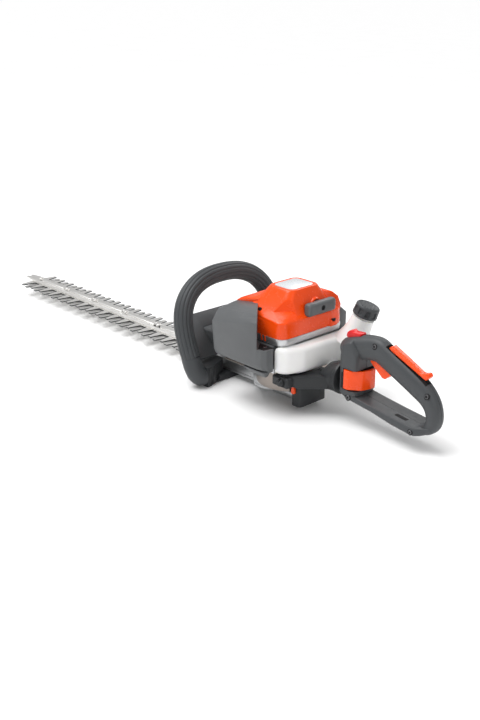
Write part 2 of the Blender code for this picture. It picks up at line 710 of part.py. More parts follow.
# --------------------------------------------------------------------------------- engine
def make_crankcase():
    """A block bored for the crank webs, with an opening for the rod towards the cylinder."""
    half = CRANKCASE_HALF
    case = box((-half, half), (CYLINDER_BASE_Y + CLEARANCE, half), CRANKCASE_Z, 5.0, 2)
    join(case, prism(pan_outline(), CRANKCASE_Z[0], CRANKCASE_Z[0] + 3.0))
    webs = cylinder((0.0, 0.0), CRANK_WEB_RADIUS + 1.5, (CRANK_MID_Z - 13.5, CRANK_MID_Z + 13.5), 32)
    throat = rod((0.0, CYLINDER_BASE_Y - 5.0, CRANK_MID_Z), (0.0, 0.0, CRANK_MID_Z), CYLINDER_BORE_RADIUS, 24)
    swing = box((-19.0, 19.0), (CYLINDER_BASE_Y + 1.0, 0.0), (CRANK_MID_Z - 5.0, CRANK_MID_Z + 5.0))
    shaft = cylinder((0.0, 0.0), SHAFT_RADIUS + RUNNING_GAP, (CRANKCASE_Z[0] - 5.0, CRANKCASE_Z[1] + 5.0), 20)
    cut(case, webs, throat, swing, shaft)
    part(case, "crankcase", "silver")


def make_crank_halves():
    """Both webs with their shafts; the crank pin is left open between them."""
    gap = ROD_BEAM_THICKNESS / 2.0 + RUNNING_GAP
    low_web = (CRANK_MID_Z - gap - CRANK_WEB_THICKNESS, CRANK_MID_Z - gap)
    lower = cylinder((0.0, 0.0), CRANK_WEB_RADIUS, low_web, 28)
    join(lower, cylinder((0.0, 0.0), SHAFT_RADIUS, (CLUTCH_Z[0] + 0.5, low_web[0] + 1.0), 20))
    part(lower, "crankshaft_lower_half", "steel", (0.0, 0.0, low_web[0]))
    high_web = (CRANK_MID_Z + gap, CRANK_MID_Z + gap + CRANK_WEB_THICKNESS)
    upper = cylinder((0.0, 0.0), CRANK_WEB_RADIUS, high_web, 28)
    join(upper, cylinder((0.0, 0.0), SHAFT_RADIUS, (high_web[1] - 1.0, FLYWHEEL_Z[1] + 2.0), 20))
    part(upper, "crankshaft_upper_half", "steel", (0.0, 0.0, high_web[1]))


def make_cylinder():
    """A finned barrel lying towards -Y, closed at the head, with ports and a plug hole."""
    outer = CYLINDER_BORE_RADIUS + CYLINDER_WALL
    barrel = rod((0.0, CYLINDER_BASE_Y, CRANK_MID_Z), (0.0, CYLINDER_HEAD_Y, CRANK_MID_Z), outer, 20)
    join(barrel, box((-FIN_HALF, FIN_HALF), (CYLINDER_BASE_Y - 3.0, CYLINDER_BASE_Y),
                     FIN_Z))
    spacing = (CYLINDER_BASE_Y - CYLINDER_HEAD_Y - 8.0) / FIN_COUNT
    for i in range(FIN_COUNT):
        y = CYLINDER_BASE_Y - 8.0 - i * spacing
        join(barrel, box((-FIN_HALF, FIN_HALF), (y - 1.6, y), FIN_Z))
    bore = rod((0.0, CYLINDER_BASE_Y + 5.0, CRANK_MID_Z), (0.0, CYLINDER_HEAD_Y + 5.0, CRANK_MID_Z),
               CYLINDER_BORE_RADIUS, 20)
    plug = rod((0.0, CYLINDER_HEAD_Y - 5.0, CRANK_MID_Z), (0.0, CYLINDER_HEAD_Y + 8.0, CRANK_MID_Z),
               PLUG_RADIUS + CLEARANCE, 16)
    port = rod((-FIN_HALF - 5.0, -50.0, CRANK_MID_Z), (FIN_HALF + 5.0, -50.0, CRANK_MID_Z), 5.0, 16)
    cut(barrel, bore, plug, port)
    part(barrel, "cylinder", "silver")


def make_piston():
    """A skirted piston at the middle of its stroke."""
    radius = CYLINDER_BORE_RADIUS - 0.8
    crown = CYLINDER_HEAD_Y + 5.0 + CRANK_THROW + 1.5
    rear = crown + PISTON_LENGTH
    piston = rod((0.0, crown, CRANK_MID_Z), (0.0, rear, CRANK_MID_Z), radius, 28)
    cut(piston, rod((0.0, crown + 4.0, CRANK_MID_Z), (0.0, rear + 5.0, CRANK_MID_Z), radius - 3.0, 24))
    part(piston, "piston", "silver", (0.0, crown, CRANK_MID_Z))


def make_piston_rod():
    """The rod hangs from the piston; its big eye is open over the crank pin."""
    crown = CYLINDER_HEAD_Y + 5.0 + CRANK_THROW + 1.5
    half = ROD_BEAM_THICKNESS / 2.0
    z = (CRANK_MID_Z - half, CRANK_MID_Z + half)
    big = prism(circle((0.0, -2.0), 9.0, 24), *z, holes=[circle((0.0, -2.0), 5.0, 16)])
    join(big, box((-4.0, 4.0), (crown + PIN_OFFSET, -10.0), z))
    join(big, prism(circle((0.0, crown + PIN_OFFSET), 6.0, 20), *z))
    part(big, "piston_rod", "steel", (0.0, crown + PIN_OFFSET, CRANK_MID_Z))


def make_spark_plug():
    plug = rod((0.0, CYLINDER_HEAD_Y + 6.0, CRANK_MID_Z), (0.0, CYLINDER_HEAD_Y - CLEARANCE, CRANK_MID_Z),
               PLUG_RADIUS, 16)
    join(plug, rod((0.0, CYLINDER_HEAD_Y - 0.3, CRANK_MID_Z), (0.0, PLUG_END_Y + 5.0, CRANK_MID_Z), 8.0, 6))
    join(plug, rod((0.0, PLUG_END_Y + 6.0, CRANK_MID_Z), (0.0, PLUG_END_Y, CRANK_MID_Z), 4.0, 12))
    part(plug, "spark_plug", "silver")
    boot = rod((0.0, PLUG_END_Y + 4.0, CRANK_MID_Z), (0.0, PLUG_END_Y - 12.0, CRANK_MID_Z), 7.0, 16)
    cut(boot, rod((0.0, PLUG_END_Y + 10.0, CRANK_MID_Z), (0.0, PLUG_END_Y - 2.0, CRANK_MID_Z), 4.3, 12))
    part(boot, "spark_plug_boot", "rubber")


def make_muffler():
    """A hollow box ahead of the cylinder with a short outlet."""
    outer = box((-73.0, -FIN_HALF - CLEARANCE), (-72.0, -40.0), (66.0, 106.0), 3.0, 2)
    cut(outer, box((-71.0, -FIN_HALF - 2.3), (-70.0, -42.0), (68.0, 104.0)))
    cut(outer, rod((-FIN_HALF - 5.0, -50.0, CRANK_MID_Z), (-FIN_HALF + 5.0, -50.0, CRANK_MID_Z), 5.0, 16))
    part(outer, "muffler", "steel")


def make_carburettor():
    """The manifold from the cylinder's inlet down to the carburettor, and its body."""
    port = rod((FIN_HALF - 5.0, -50.0, CRANK_MID_Z), (FIN_HALF + 4.0, -50.0, CRANK_MID_Z), 5.0, 16)
    manifold = box((FIN_HALF + CLEARANCE, FIN_HALF + 5.7), (-62.0, -44.0), (62.0, CRANK_MID_Z + 9.0), 2.0, 1)
    cut(manifold, port, cylinder((FIN_HALF + 3.0, -54.0), 1.8, (55.0, CRANK_MID_Z + 3.0), 12))
    part(manifold, "intake_manifold", "black")
    body = box((FIN_HALF - 1.5, 56.0), (CARBURETTOR_FACE_Y, -51.5), (46.0, CARBURETTOR_TOP_Z), 2.0, 1)
    x, z = PRIMER_PLACE
    well = rod((x, CARBURETTOR_FACE_Y - 2.0, z), (x, CARBURETTOR_FACE_Y + PRIMER_TRAVEL + RUNNING_GAP, z),
               PRIMER_RADIUS + RUNNING_GAP, 20)
    cut(body, cylinder((FIN_HALF + 3.0, -54.0), 1.8, (50.0, 70.0), 12), well)
    part(body, "carburettor", "silver")


def make_air_filter():
    """The filter cover is a tray open towards the engine, with the element inside."""
    x, y, z = FILTER_BOX_X, FILTER_BOX_Y, FILTER_BOX_Z
    shell = prism(rectangle(x, y, 7.0), *z)
    round_edges(shell, 2.0, 2, 50.0)
    inner = (x[0] - 5.0, x[1] - WALL)
    cut(shell, box(inner, (y[0] + WALL, y[1] - WALL), (z[0] + WALL, z[1] - WALL), 3.0, 1))
    part(shell, "filter_cover", "black")
    element = box((x[0] + 2.0, x[1] - WALL - 3.0), (y[0] + WALL + 2.0, y[1] - WALL - 2.0),
                  (z[0] + WALL + CLEARANCE, z[1] - WALL - 2.0), 2.0, 1)
    part(element, "air_filter", "rubber")


def make_choke_lever():
    """A small lever on the left of the filter cover, on a short pivot."""
    y = FILTER_BOX_Y[0] - CLEARANCE
    lever = prism(rounded([(-3.0, -3.5), (3.5, -3.5), (3.0, 4.0), (1.5, 9.5), (-1.5, 9.5), (-3.0, 4.0)], 1.2, 2),
                  -4.0, 0.0, 'Y')
    lever.data.transform(Matrix.Translation((mm(FILTER_BOX_X[0] + 9.0), mm(y), mm(34.0))))
    part(lever, "choke_lever", "orange", (FILTER_BOX_X[0] + 9.0, y, 34.0))


def make_primer_bulb():
    """The soft bulb at the mouth of its well in the carburettor's outer face."""
    x, z = PRIMER_PLACE
    y = CARBURETTOR_FACE_Y + CLEARANCE
    bulb = rod((x, y, z), (x, y - 7.0, z), PRIMER_RADIUS, 20, PRIMER_RADIUS - 2.5)
    part(bulb, "primer_bulb", "tank_white", (x, y, z))


# -------------------------------------------------------------------------- fan and starter
def make_flywheel():
    """A disc with blades on the upper shaft."""
    low, high = FLYWHEEL_Z
    wheel = prism(circle((0.0, 0.0), FAN_RADIUS, 30), low, low + 4.0,
                  holes=[circle((0.0, 0.0), SHAFT_RADIUS + CLEARANCE, 16)])
    join(wheel, prism(circle((0.0, 0.0), 16.0, 20), low + 3.0, high,
                      holes=[circle((0.0, 0.0), SHAFT_RADIUS + CLEARANCE, 16)]))
    for i in range(10):
        blade = box((18.0, FAN_RADIUS - 1.0), (-1.0, 1.0), (low + 3.0, high))
        blade.data.transform(Matrix.Rotation(math.radians(36.0 * i), 4, 'Z'))
        join(wheel, blade)
    part(wheel, "flywheel", "silver", (0.0, 0.0, low))


def fan_outline(grow=0.0):
    """The plan of the fan housing: straight at the front, bowed at the rear."""
    front, rear = FAN_HOUSING_X
    half = FAN_HOUSING_HALF_WIDTH + grow
    corners = [(front - grow, -half + 12.0), (front + 14.0, -half), (rear - 16.0, -half), (rear - 4.0, -half * 0.72),
               (rear + grow, 0.0), (rear - 4.0, half * 0.72), (rear - 16.0, half), (front + 14.0, half),
               (front - grow, half - 12.0)]
    return rounded(corners, [8.0, 10.0, 9.0, 9.0, 60.0, 9.0, 9.0, 10.0, 8.0], 3)


def make_fan_housing():
    """The cast plate and rim under the starter cover."""
    low, high = FAN_HOUSING_Z
    plate = prism(fan_outline(), low, high)
    cut(plate, prism(inset(fan_outline(), WALL), low + 2.0, high + 2.0),
        cylinder((0.0, 0.0), SHAFT_RADIUS + RUNNING_GAP, (low - 2.0, high + 2.0), 20))
    part(plate, "fan_housing", "silver")


def cover_section(z, half_x, half_y, centre_x, radius):
    """One level of the starter cover, as a rounded rectangle with 24 points."""
    x = (centre_x - half_x, centre_x + half_x)
    return level(rectangle(x, (-half_y, half_y), radius, 5), z)


def cover_levels(shrink=0.0, lift=0.0):
    """The cover's rings from its rim to its top, or the same moved inwards for the hollow."""
    front, rear = FAN_HOUSING_X
    middle = (front + rear) / 2.0
    half_x = (rear - front) / 2.0 - shrink
    half_y = FAN_HOUSING_HALF_WIDTH - shrink
    low = FAN_HOUSING_Z[1] + CLEARANCE
    return [cover_section(low - lift * 3.0, half_x, half_y, middle, 14.0),
            cover_section(142.0, half_x - 1.0, half_y - 1.0, middle, 14.0),
            cover_section(151.0 - lift, half_x - 8.0, half_y - 9.0, middle + 1.0, 16.0),
            cover_section(177.0 - lift, COVER_TOP_HALF_X + 6.0 - shrink, COVER_TOP_HALF_Y + 5.0 - shrink, 0.0, 14.0),
            cover_section(COVER_TOP_Z - lift, COVER_TOP_HALF_X - shrink, COVER_TOP_HALF_Y - shrink, 0.0, 12.0)]


def make_starter_cover():
    """The domed cover with the rope boss at its rear and a seat for the label plate."""
    cover = loft(cover_levels())
    boss = rod((0.0, ROPE_Y, ROPE_Z), (BOSS_END_X + 6.0, ROPE_Y, ROPE_Z), BOSS_RADIUS, 24)
    join(cover, boss)
    cut(cover, loft(cover_levels(WALL, WALL)),
        rod((0.0, ROPE_Y, ROPE_Z), (BOSS_END_X + 30.0, ROPE_Y, ROPE_Z), 3.5, 12),
        rod((BOSS_END_X - 4.0, ROPE_Y, ROPE_Z), (BOSS_END_X + 30.0, ROPE_Y, ROPE_Z), BOSS_RADIUS - 2.0, 20),
        prism(rectangle((-PLATE_HALF_X - 0.5, PLATE_HALF_X + 0.5), (-PLATE_HALF_Y - 0.5, PLATE_HALF_Y + 0.5), 9.0),
              COVER_TOP_Z - PLATE_THICKNESS, COVER_TOP_Z + 5.0))
    part(cover, "starter_cover", "orange")
    plate = prism(rectangle((-PLATE_HALF_X, PLATE_HALF_X), (-PLATE_HALF_Y, PLATE_HALF_Y), 8.5),
                  COVER_TOP_Z - PLATE_THICKNESS + CLEARANCE, COVER_TOP_Z + 0.3)
    part(plate, "label_plate", "label")


def make_starter():
    """Pulley with a rope groove, the recoil spring's case, the rope and its grip."""
    low, high = PULLEY_Z
    pulley = turned([(5.0, high), (PULLEY_RADIUS, high), (PULLEY_RADIUS, high - 2.0), (PULLEY_RADIUS - 5.0, high - 4.0),
                     (PULLEY_RADIUS - 5.0, low + 4.0), (PULLEY_RADIUS, low + 2.0), (PULLEY_RADIUS, low),
                     (10.0, low), (10.0, FLYWHEEL_Z[1] + 6.0), (5.0, FLYWHEEL_Z[1] + 6.0)], 24)
    part(pulley, "starter_pulley", "black", (0.0, 0.0, low))
    spring = turned([(6.0, RECOIL_Z[1]), (20.0, RECOIL_Z[1]), (20.0, RECOIL_Z[0]), (6.0, RECOIL_Z[0])], 28)
    part(spring, "recoil_spring", "steel")
    start = (PULLEY_RADIUS - 3.0, ROPE_Y, ROPE_Z)
    rope = rod(start, (GRIP_X - GRIP_HALF_DEPTH - CLEARANCE, ROPE_Y, ROPE_Z), ROPE_RADIUS, 10)
    part(rope, "starter_rope", "black")


def make_starter_grip():
    """A T-shaped grip with a short neck around the rope."""
    x = (GRIP_X - GRIP_HALF_DEPTH, GRIP_X + GRIP_HALF_DEPTH)
    bar = box(x, (ROPE_Y - GRIP_HALF_LENGTH, ROPE_Y + GRIP_HALF_LENGTH),
              (ROPE_Z - GRIP_HALF_HEIGHT, ROPE_Z + GRIP_HALF_HEIGHT), 4.5, 2)
    cut(bar, rod((GRIP_X + 2.0, ROPE_Y, ROPE_Z), (GRIP_X + 20.0, ROPE_Y, ROPE_Z), 4.0, 16))
    part(bar, "starter_grip", "cover_gray", (GRIP_X, ROPE_Y, ROPE_Z))


# ------------------------------------------------------------------------- engine covers
def side_cover_levels(x, outer_y, z, side, step_x, shrink=0.0):
    """Rings of a side cover from its open bottom to its top; step_x is its inner rear edge."""
    deep = abs(outer_y) - shrink
    low_z = z[0] - 3.0 * (shrink > 0.0)
    levels = []
    for height, out, ends in ((low_z, deep - 8.0, 5.0), (z[0] + 12.0, deep, 0.0), (z[1] - 24.0, deep, 0.0),
                              (z[1] - 9.0, deep - 18.0, 4.0), (z[1] - shrink, deep - 38.0, 12.0)):
        low = x[0] + ends + shrink
        high = x[1] - ends * 0.5 - shrink
        corner_y = min(out - 14.0, 78.0)
        corners = [(low, 30.0), (step_x - shrink, 30.0), (step_x - shrink, corner_y - 4.0 + shrink),
                   (high, corner_y + shrink), (high, out), (low, out)]
        ring = rounded(corners, [0.0, 0.0, 0.0, 0.0, 10.0, 12.0], 4)
        levels.append(level([(px, py * side) for px, py in ring], height))
    return levels


def rear_corner(inwards=0.0):
    """The upper rear corner of the left cover, taken off along a diagonal so that the fan housing shows."""
    shift = inwards * math.sqrt(2.0)
    plan = [(36.0 - shift, -112.0), (-42.0 - shift, -34.0), (90.0, -34.0), (90.0, -112.0)]
    return prism(plan, FAN_HOUSING_Z[0] - CLEARANCE - inwards, COVER_TOP_Z)


def make_side_cover(name, x, outer_y, z, side, step_x):
    shell = loft(side_cover_levels(x, outer_y, z, side, step_x))
    room = loft(side_cover_levels(x, outer_y, z, side, step_x, WALL))
    if side < 0.0:
        cut(shell, rear_corner())
        cut(room, rear_corner(WALL))
    rim = FAN_HOUSING_HALF_WIDTH + RUNNING_GAP
    cut(shell, room, box((-200.0, 200.0), (-rim, rim), (FAN_HOUSING_Z[0] - 1.0, COVER_TOP_Z)),
        box((-200.0, 200.0), (-44.0, 44.0), (0.0, COVER_TOP_Z)))
    part(shell, name, "cover_gray")


def make_ignition_coil():
    """The coil stands in front of the flywheel's rim, on the fan housing."""
    low = FAN_HOUSING_Z[0] + 2.0 + CLEARANCE
    x = -FAN_RADIUS - 1.5
    coil = box((x - 12.0, x), (-12.0, 12.0), (low, low + 16.0), 1.5, 1)
    part(coil, "ignition_coil", "black")


# ------------------------------------------------------------------------------- fuel tank
def tank_outline():
    """The tank wraps round the rear of the engine and widens under its filler neck."""
    corners = [(TANK_LEFT_X, -72.0), (52.0, -66.0), (63.0, -38.0), (65.0, 0.0), (66.0, 30.0), (90.0, 36.0), (101.0, 58.0),
               (90.0, 82.0), (62.0, 90.0), (38.0, 88.0), (38.0, -36.0), (TANK_LEFT_X, -40.0)]
    return rounded(corners, [4.0, 14.0, 16.0, 40.0, 10.0, 12.0, 18.0, 14.0, 10.0, 5.0, 0.0, 0.0], 4)


def cap_axis():
    tilt = math.radians(CAP_TILT)
    heading = math.radians(CAP_HEADING)
    return Vector((math.sin(tilt) * math.cos(heading), math.sin(tilt) * math.sin(heading), math.cos(tilt)))


def along_cap(distance):
    """The point this far above the middle of the cap, along its axis."""
    return tuple(Vector(CAP_CENTRE) + cap_axis() * distance)


def cap_frame():
    """The turn and shift that stand an upright shape on the cap's axis."""
    turn = cap_axis().to_track_quat('Z', 'Y').to_matrix().to_4x4()
    return Matrix.Translation([mm(v) for v in CAP_CENTRE]) @ turn


def make_tank():
    tank = prism(tank_outline(), *TANK_Z)
    round_edges(tank, 5.0, 1, 50.0)
    foot = -(CAP_CENTRE[2] - TANK_Z[1] + 10.0) / cap_axis().z
    neck_top = -CAP_HEIGHT / 2.0 + 11.0
    shoulder = NECK_RADIUS + 2.5
    neck = turned([(0.0, neck_top), (NECK_RADIUS, neck_top), (NECK_RADIUS, -CAP_HEIGHT / 2.0 - 1.0),
                   (shoulder, -CAP_HEIGHT / 2.0 - 1.0), (shoulder, -24.0), (shoulder + 6.0, foot), (0.0, foot)], 24)
    neck.data.transform(cap_frame())
    join(tank, neck)
    hollow = prism(inset(tank_outline(), TANK_WALL), TANK_Z[0] + TANK_WALL, TANK_Z[1] - TANK_WALL)
    cut(tank, hollow, rod(along_cap(foot + 2.0), along_cap(20.0), NECK_BORE_RADIUS, 20))
    part(tank, "fuel_tank", "tank_white")


def make_cap():
    """A lobed cup over the neck, with a loose seal disc under its top."""
    half = CAP_HEIGHT / 2.0
    lobes = []
    for i in range(40):
        angle = math.radians(9.0 * i)
        reach = CAP_RADIUS - (1.6 if i % 4 == 0 else 0.0)
        lobes.append((reach * math.cos(angle), reach * math.sin(angle)))
    cap = prism(lobes, -half, half)
    round_edges(cap, 1.5, 1, 60.0)
    bore = NECK_RADIUS + 0.5
    cut(cap, cylinder((0.0, 0.0), bore, (-half - 2.0, half - 3.0), 28))
    cap.data.transform(cap_frame())
    part(cap, "fuel_cap", "dark_gray", along_cap(half - 3.0))
    seal = cylinder((0.0, 0.0), NECK_RADIUS - 0.5, (half - 3.0 - CLEARANCE - 2.5, half - 3.0 - CLEARANCE), 24)
    seal.data.transform(cap_frame())
    part(seal, "fuel_cap_seal", "rubber", along_cap(half - 3.0))


def make_fuel_line():
    """A hose from the tank's underside to the carburettor."""
    place = (46.0, -57.0)
    hose = cylinder(place, 2.4, (CARBURETTOR_TOP_Z + CLEARANCE, TANK_Z[0] - CLEARANCE), 10)
    part(hose, "fuel_line", "black")


# ------------------------------------------------------------------- neck and rear handle
def neck_section(x, z, half_width, half_height, count=28):
    return [(x, half_width * math.cos(a), z + half_height * math.sin(a))
            for a in (2.0 * math.pi * i / count for i in range(count))]


def make_neck():
    """A hollow boss from the engine's rear to the swivel collar."""
    front = FILTER_BOX_X[1] + 0.5
    neck = loft([neck_section(front, 50.0, 21.0, 14.0), neck_section(70.0, 52.5, 22.0, 14.0),
                 neck_section(84.0, 60.0, 24.0, 22.0), neck_section(COLLAR_X[0] - RUNNING_GAP, SWIVEL_Z,
                                                                  COLLAR_RADIUS - 1.0, COLLAR_RADIUS - 1.0)])
    flange = box((CRANKCASE_HALF + CLEARANCE, front + 6.0), (-20.0, 20.0), (FILTER_BOX_Z[1] + CLEARANCE, 57.5), 2.0, 1)
    cut(flange, prism(pan_outline(RUNNING_GAP), 20.0, 57.9))
    join(neck, flange)
    cut(neck, rod((COLLAR_X[0] - 18.0, 0.0, SWIVEL_Z), (COLLAR_X[0] + 20.0, 0.0, SWIVEL_Z), SPIGOT_RADIUS + RUNNING_GAP, 28))
    part(neck, "rear_neck", "dark_gray")


def make_collar():
    """The swivel ring with its spigot, the part of the handle that turns in the neck."""
    ring = rod((COLLAR_X[0], 0.0, SWIVEL_Z), (COLLAR_X[1], 0.0, SWIVEL_Z), COLLAR_RADIUS, 36)
    join(ring, rod((COLLAR_X[0] - 15.0, 0.0, SWIVEL_Z), (COLLAR_X[0] + 1.0, 0.0, SWIVEL_Z), SPIGOT_RADIUS, 28))
    cut(ring, rod((COLLAR_X[0] - 20.0, 0.0, SWIVEL_Z), (COLLAR_X[1] + 5.0, 0.0, SWIVEL_Z), SPIGOT_RADIUS - 4.0, 24))
    part(ring, "swivel_collar", "black", (COLLAR_X[0], 0.0, SWIVEL_Z))


HANDLE_OUTER = [(112.0, 60.0), (112.0, 118.0), (113.0, 130.0), (133.0, 137.0), (161.0, 142.0), (177.0, 144.0),
                (190.0, 136.5), (258.0, 104.0), (277.0, 92.0), (285.0, 80.0), (REAR_END_X, 62.0), (285.0, 44.0),
                (280.0, 36.0), (256.0, 24.0), (212.0, 28.0), (176.0, 35.0), (139.0, 39.5), (118.0, 48.0)]
HANDLE_INNER = [(150.0, 50.0), (150.0, 107.0), (175.5, 106.0), (244.0, 74.0), (262.5, 63.0), (262.5, 44.0),
                (256.0, 39.5), (212.0, 42.0)]
RAIL_OUTLINE = [(142.0, 49.0), (141.0, 39.9), (176.0, 35.7), (212.0, 28.6), (253.0, 25.0), (254.5, 38.6), (212.0, 41.3)]


def handle_outer():
    return rounded(HANDLE_OUTER, [6.0, 10.0, 5.0, 20.0, 30.0, 12.0, 16.0, 30.0, 14.0, 20.0, 40.0, 20.0, 12.0, 16.0,
                                  40.0, 40.0, 20.0, 8.0], 2)


def handle_inner():
    return rounded(HANDLE_INNER, [6.0, 6.0, 6.0, 20.0, 10.0, 8.0, 8.0, 40.0], 2)


def trigger_window():
    return box((158.0, 212.0), (-8.0, 8.0), (88.0, 124.0))


def lockout_window():
    """The slot in the handle's top, in line with the sloping grip."""
    slope = math.atan2(104.0 - 136.5, 258.0 - 190.0)
    tool = box((-5.0, 77.5), (-8.0, 8.0), (-14.0, 16.0))
    tool.data.transform(Matrix.Translation((mm(194.0), 0.0, mm(138.0))) @ Matrix.Rotation(-slope, 4, 'Y'))
    return tool


def make_handle_shell(name, side):
    """One half of the handle: the D outline with a wall, open towards the seam."""
    seam = CLEARANCE / 2.0 * side
    face = HANDLE_HALF_WIDTH * side
    column = COLUMN_HALF_WIDTH * side
    rail = RAIL_HALF_WIDTH * side
    shell = prism(handle_outer(), *sorted((-5.0 * side, face)), 'Y', holes=[handle_inner()])
    plan = [(COLLAR_X[1] + CLEARANCE, -6.0 * side), (COLLAR_X[1] + CLEARANCE, 15.0 * side), (121.5, column),
            (148.0, column), (149.5, -6.0 * side)]
    join(shell, prism(rounded(plan, [0.0, 4.0, 4.0, 4.0, 0.0], 2), 44.0, 124.0),
         prism(rounded(RAIL_OUTLINE, [0.0, 3.0, 20.0, 20.0, 5.0, 3.0, 20.0], 2), *sorted((-7.0 * side, rail)), 'Y'))
    cut(shell, box((100.0, 300.0), sorted((-9.0 * side, seam)), (0.0, COVER_TOP_Z)))
    pocket = box((COLLAR_X[1] + CLEARANCE + HANDLE_WALL, 145.0), sorted((seam - side, 15.0 * side)), (48.0, 120.0))
    wide_pocket = box((123.0, 145.0), sorted((14.0 * side, column - HANDLE_WALL * side)), (48.0, 120.0))
    hollow = prism(inset(handle_outer(), HANDLE_WALL), *sorted((seam - side, face - HANDLE_WALL * side)), 'Y',
                   holes=[inset(handle_inner(), -HANDLE_WALL)])
    tray = prism(inset(RAIL_OUTLINE, HANDLE_WALL), *sorted((seam - side, rail - HANDLE_WALL * side)), 'Y')
    switch = box((SWITCH_PIVOT[0] - 14.5, SWITCH_PIVOT[0] + 14.5), (-7.5, 7.5), (126.0, 152.0))
    lever = box((127.0, 152.0), (-30.0, 16.5), (57.0, 92.0))
    bore = rod((COLLAR_X[1] - 5.0, 0.0, SWIVEL_Z), (COLLAR_X[1] + 8.0, 0.0, SWIVEL_Z), 8.0, 20)
    cut(shell, hollow, pocket, wide_pocket, tray, trigger_window(), lockout_window(), switch, lever, bore)
    part(shell, name, "dark_gray")


def make_trigger():
    """The throttle trigger hangs from its pivot and swings forwards and up into the grip."""
    x, z = TRIGGER_PIVOT
    outline = [(x - 4.0, z + 3.0), (x + 5.0, z + 3.0), (x + 21.0, z - 10.0), (x + 32.0, z - 24.0), (x + 32.0, z - 33.0),
               (x + 20.5, z - 44.2), (x + 15.0, z - 44.2), (x + 2.5, z - 34.0), (x - 8.0, z - 25.5), (x - 6.0, z - 12.0)]
    trigger = prism(rounded(outline, [3.0, 3.0, 3.0, 4.0, 4.0, 4.0, 3.0, 12.0, 3.0, 4.0], 3), -6.0, 6.0, 'Y')
    part(round_edges(trigger, 1.5, 1), "throttle_trigger", "orange", (x, 0.0, z))


def make_lockout():
    """The throttle lockout lies in the slot on the grip's back and dips at its rear end."""
    x, z = LOCKOUT_PIVOT
    outline = [(x - 5.5, z + 2.5), (x - 2.0, z + 6.8), (x + 54.0, z - 19.7), (x + 59.0, z - 15.5), (x + 63.5, z - 14.6),
               (x + 66.5, z - 21.5), (x + 61.0, z - 28.0), (x - 2.0, z - 1.5)]
    lever = prism(rounded(outline, [1.5, 3.0, 8.0, 4.0, 3.0, 3.0, 3.0, 1.5], 3), -6.8, 6.8, 'Y')
    part(round_edges(lever, 1.5, 1), "throttle_lockout", "orange", (x, 0.0, z))


def make_stop_switch():
    x, z = SWITCH_PIVOT
    outline = [(x - 13.0, z + 2.5), (x - 12.0, z + 6.0), (x - 6.5, z + 10.5), (x - 2.0, z + 7.5), (x + 13.0, z + 9.0),
               (x + 13.0, z + 2.5), (x + 3.0, z - 3.0), (x - 3.0, z - 3.0), (x - 13.0, z - 1.0)]
    switch = prism(rounded(outline, [1.0, 2.0, 2.0, 3.0, 1.5, 1.0, 2.0, 2.0, 1.0], 2), -6.5, 6.5, 'Y')
    part(switch, "stop_switch", "red", (x, 0.0, z))


def make_release_lever():
    """The curved catch that frees the swivel; it wraps from the left side round to the rear."""
    outer = [(128.5, -26.0), (137.0, -26.5), (154.0, -14.0), (158.0, 0.0), (158.6, 11.0), (154.1, 11.0), (153.5, 0.0),
             (150.5, -10.0), (136.0, -20.5), (128.5, -20.0)]
    lever = prism(rounded(outer, [1.0, 6.0, 10.0, 10.0, 1.5, 1.5, 10.0, 8.0, 6.0, 1.0], 3), 60.0, 89.0)
    part(round_edges(lever, 1.0, 1), "release_lever", "orange", (128.5, -23.0, 74.0))


# ---------------------------------------------------------------------------- front handle
def lean_x(z):
    """The front handle's plane leans towards the bar as it rises."""
    return FRONT_FOOT_X - (z - FRONT_FOOT_Z) * math.tan(math.radians(FRONT_LEAN))


def front_handle_path():
    """The middle of the tube from the left foot over the top to the right foot."""
    half = []
    shoulder = 88.0
    for i in range(13):
        angle = math.radians(90.0 * i / 12)
        power = 2.0 / 2.35
        half.append((FRONT_HALF_WIDTH * math.sin(angle) ** power,
                     shoulder + (FRONT_TOP_Z - shoulder) * math.cos(angle) ** power))
    half.append((FRONT_HALF_WIDTH - 1.0, 66.0))
    bend = 32.0
    for i in range(7):
        angle = math.radians(15.0 * i)
        half.append((FRONT_HALF_WIDTH - 3.0 - bend * (1.0 - math.cos(angle)) * 0.42,
                     FRONT_FOOT_Z + bend - bend * math.sin(angle)))
    half.append((FRONT_FOOT_Y, FRONT_FOOT_Z))
    left = [(lean_x(z), -y, z) for y, z in reversed(half)]
    return left + [(x, -y, z) for x, y, z in reversed(left[:-1])]


def make_front_handle():
    """A tube from foot to foot, thick at its ends, and the grip around its thinner middle."""
    path = [Vector(point) for point in front_handle_path()]
    steps = []
    for i in range(len(path) - 1):
        low, high = sorted((path[i], path[i + 1]), key=lambda point: point.z)
        if low.z < GRIP_START_Z <= high.z:
            steps.append((i, low.lerp(high, (GRIP_START_Z - low.z) / (high.z - low.z)), (high - low).normalized()))
    (first, left, left_up), (last, right, right_up) = steps
    middle = path[first + 1:last + 1]
    points = path[:first + 1] + [left, left + left_up * 0.5] + middle + [right + right_up * 0.5, right] + path[last + 1:]
    radii = [FRONT_HANDLE_RADIUS if p.z <= GRIP_START_Z + 0.01 else FRONT_TUBE_RADIUS for p in points]
    part(tube(points, FRONT_HANDLE_RADIUS, 2, radii), "front_handle", "dark_gray")
    grip_start = [left + left_up * (0.5 + CLEARANCE)]
    grip_end = [right + right_up * (0.5 + CLEARANCE)]
    grip = tube(grip_start + middle + grip_end, FRONT_HANDLE_RADIUS, 2)
    bore = FRONT_TUBE_RADIUS + 1.4
    cut(grip, tube([left - left_up * 5.0] + middle + [right - right_up * 5.0], bore, 2))
    part(grip, "front_grip", "rubber")


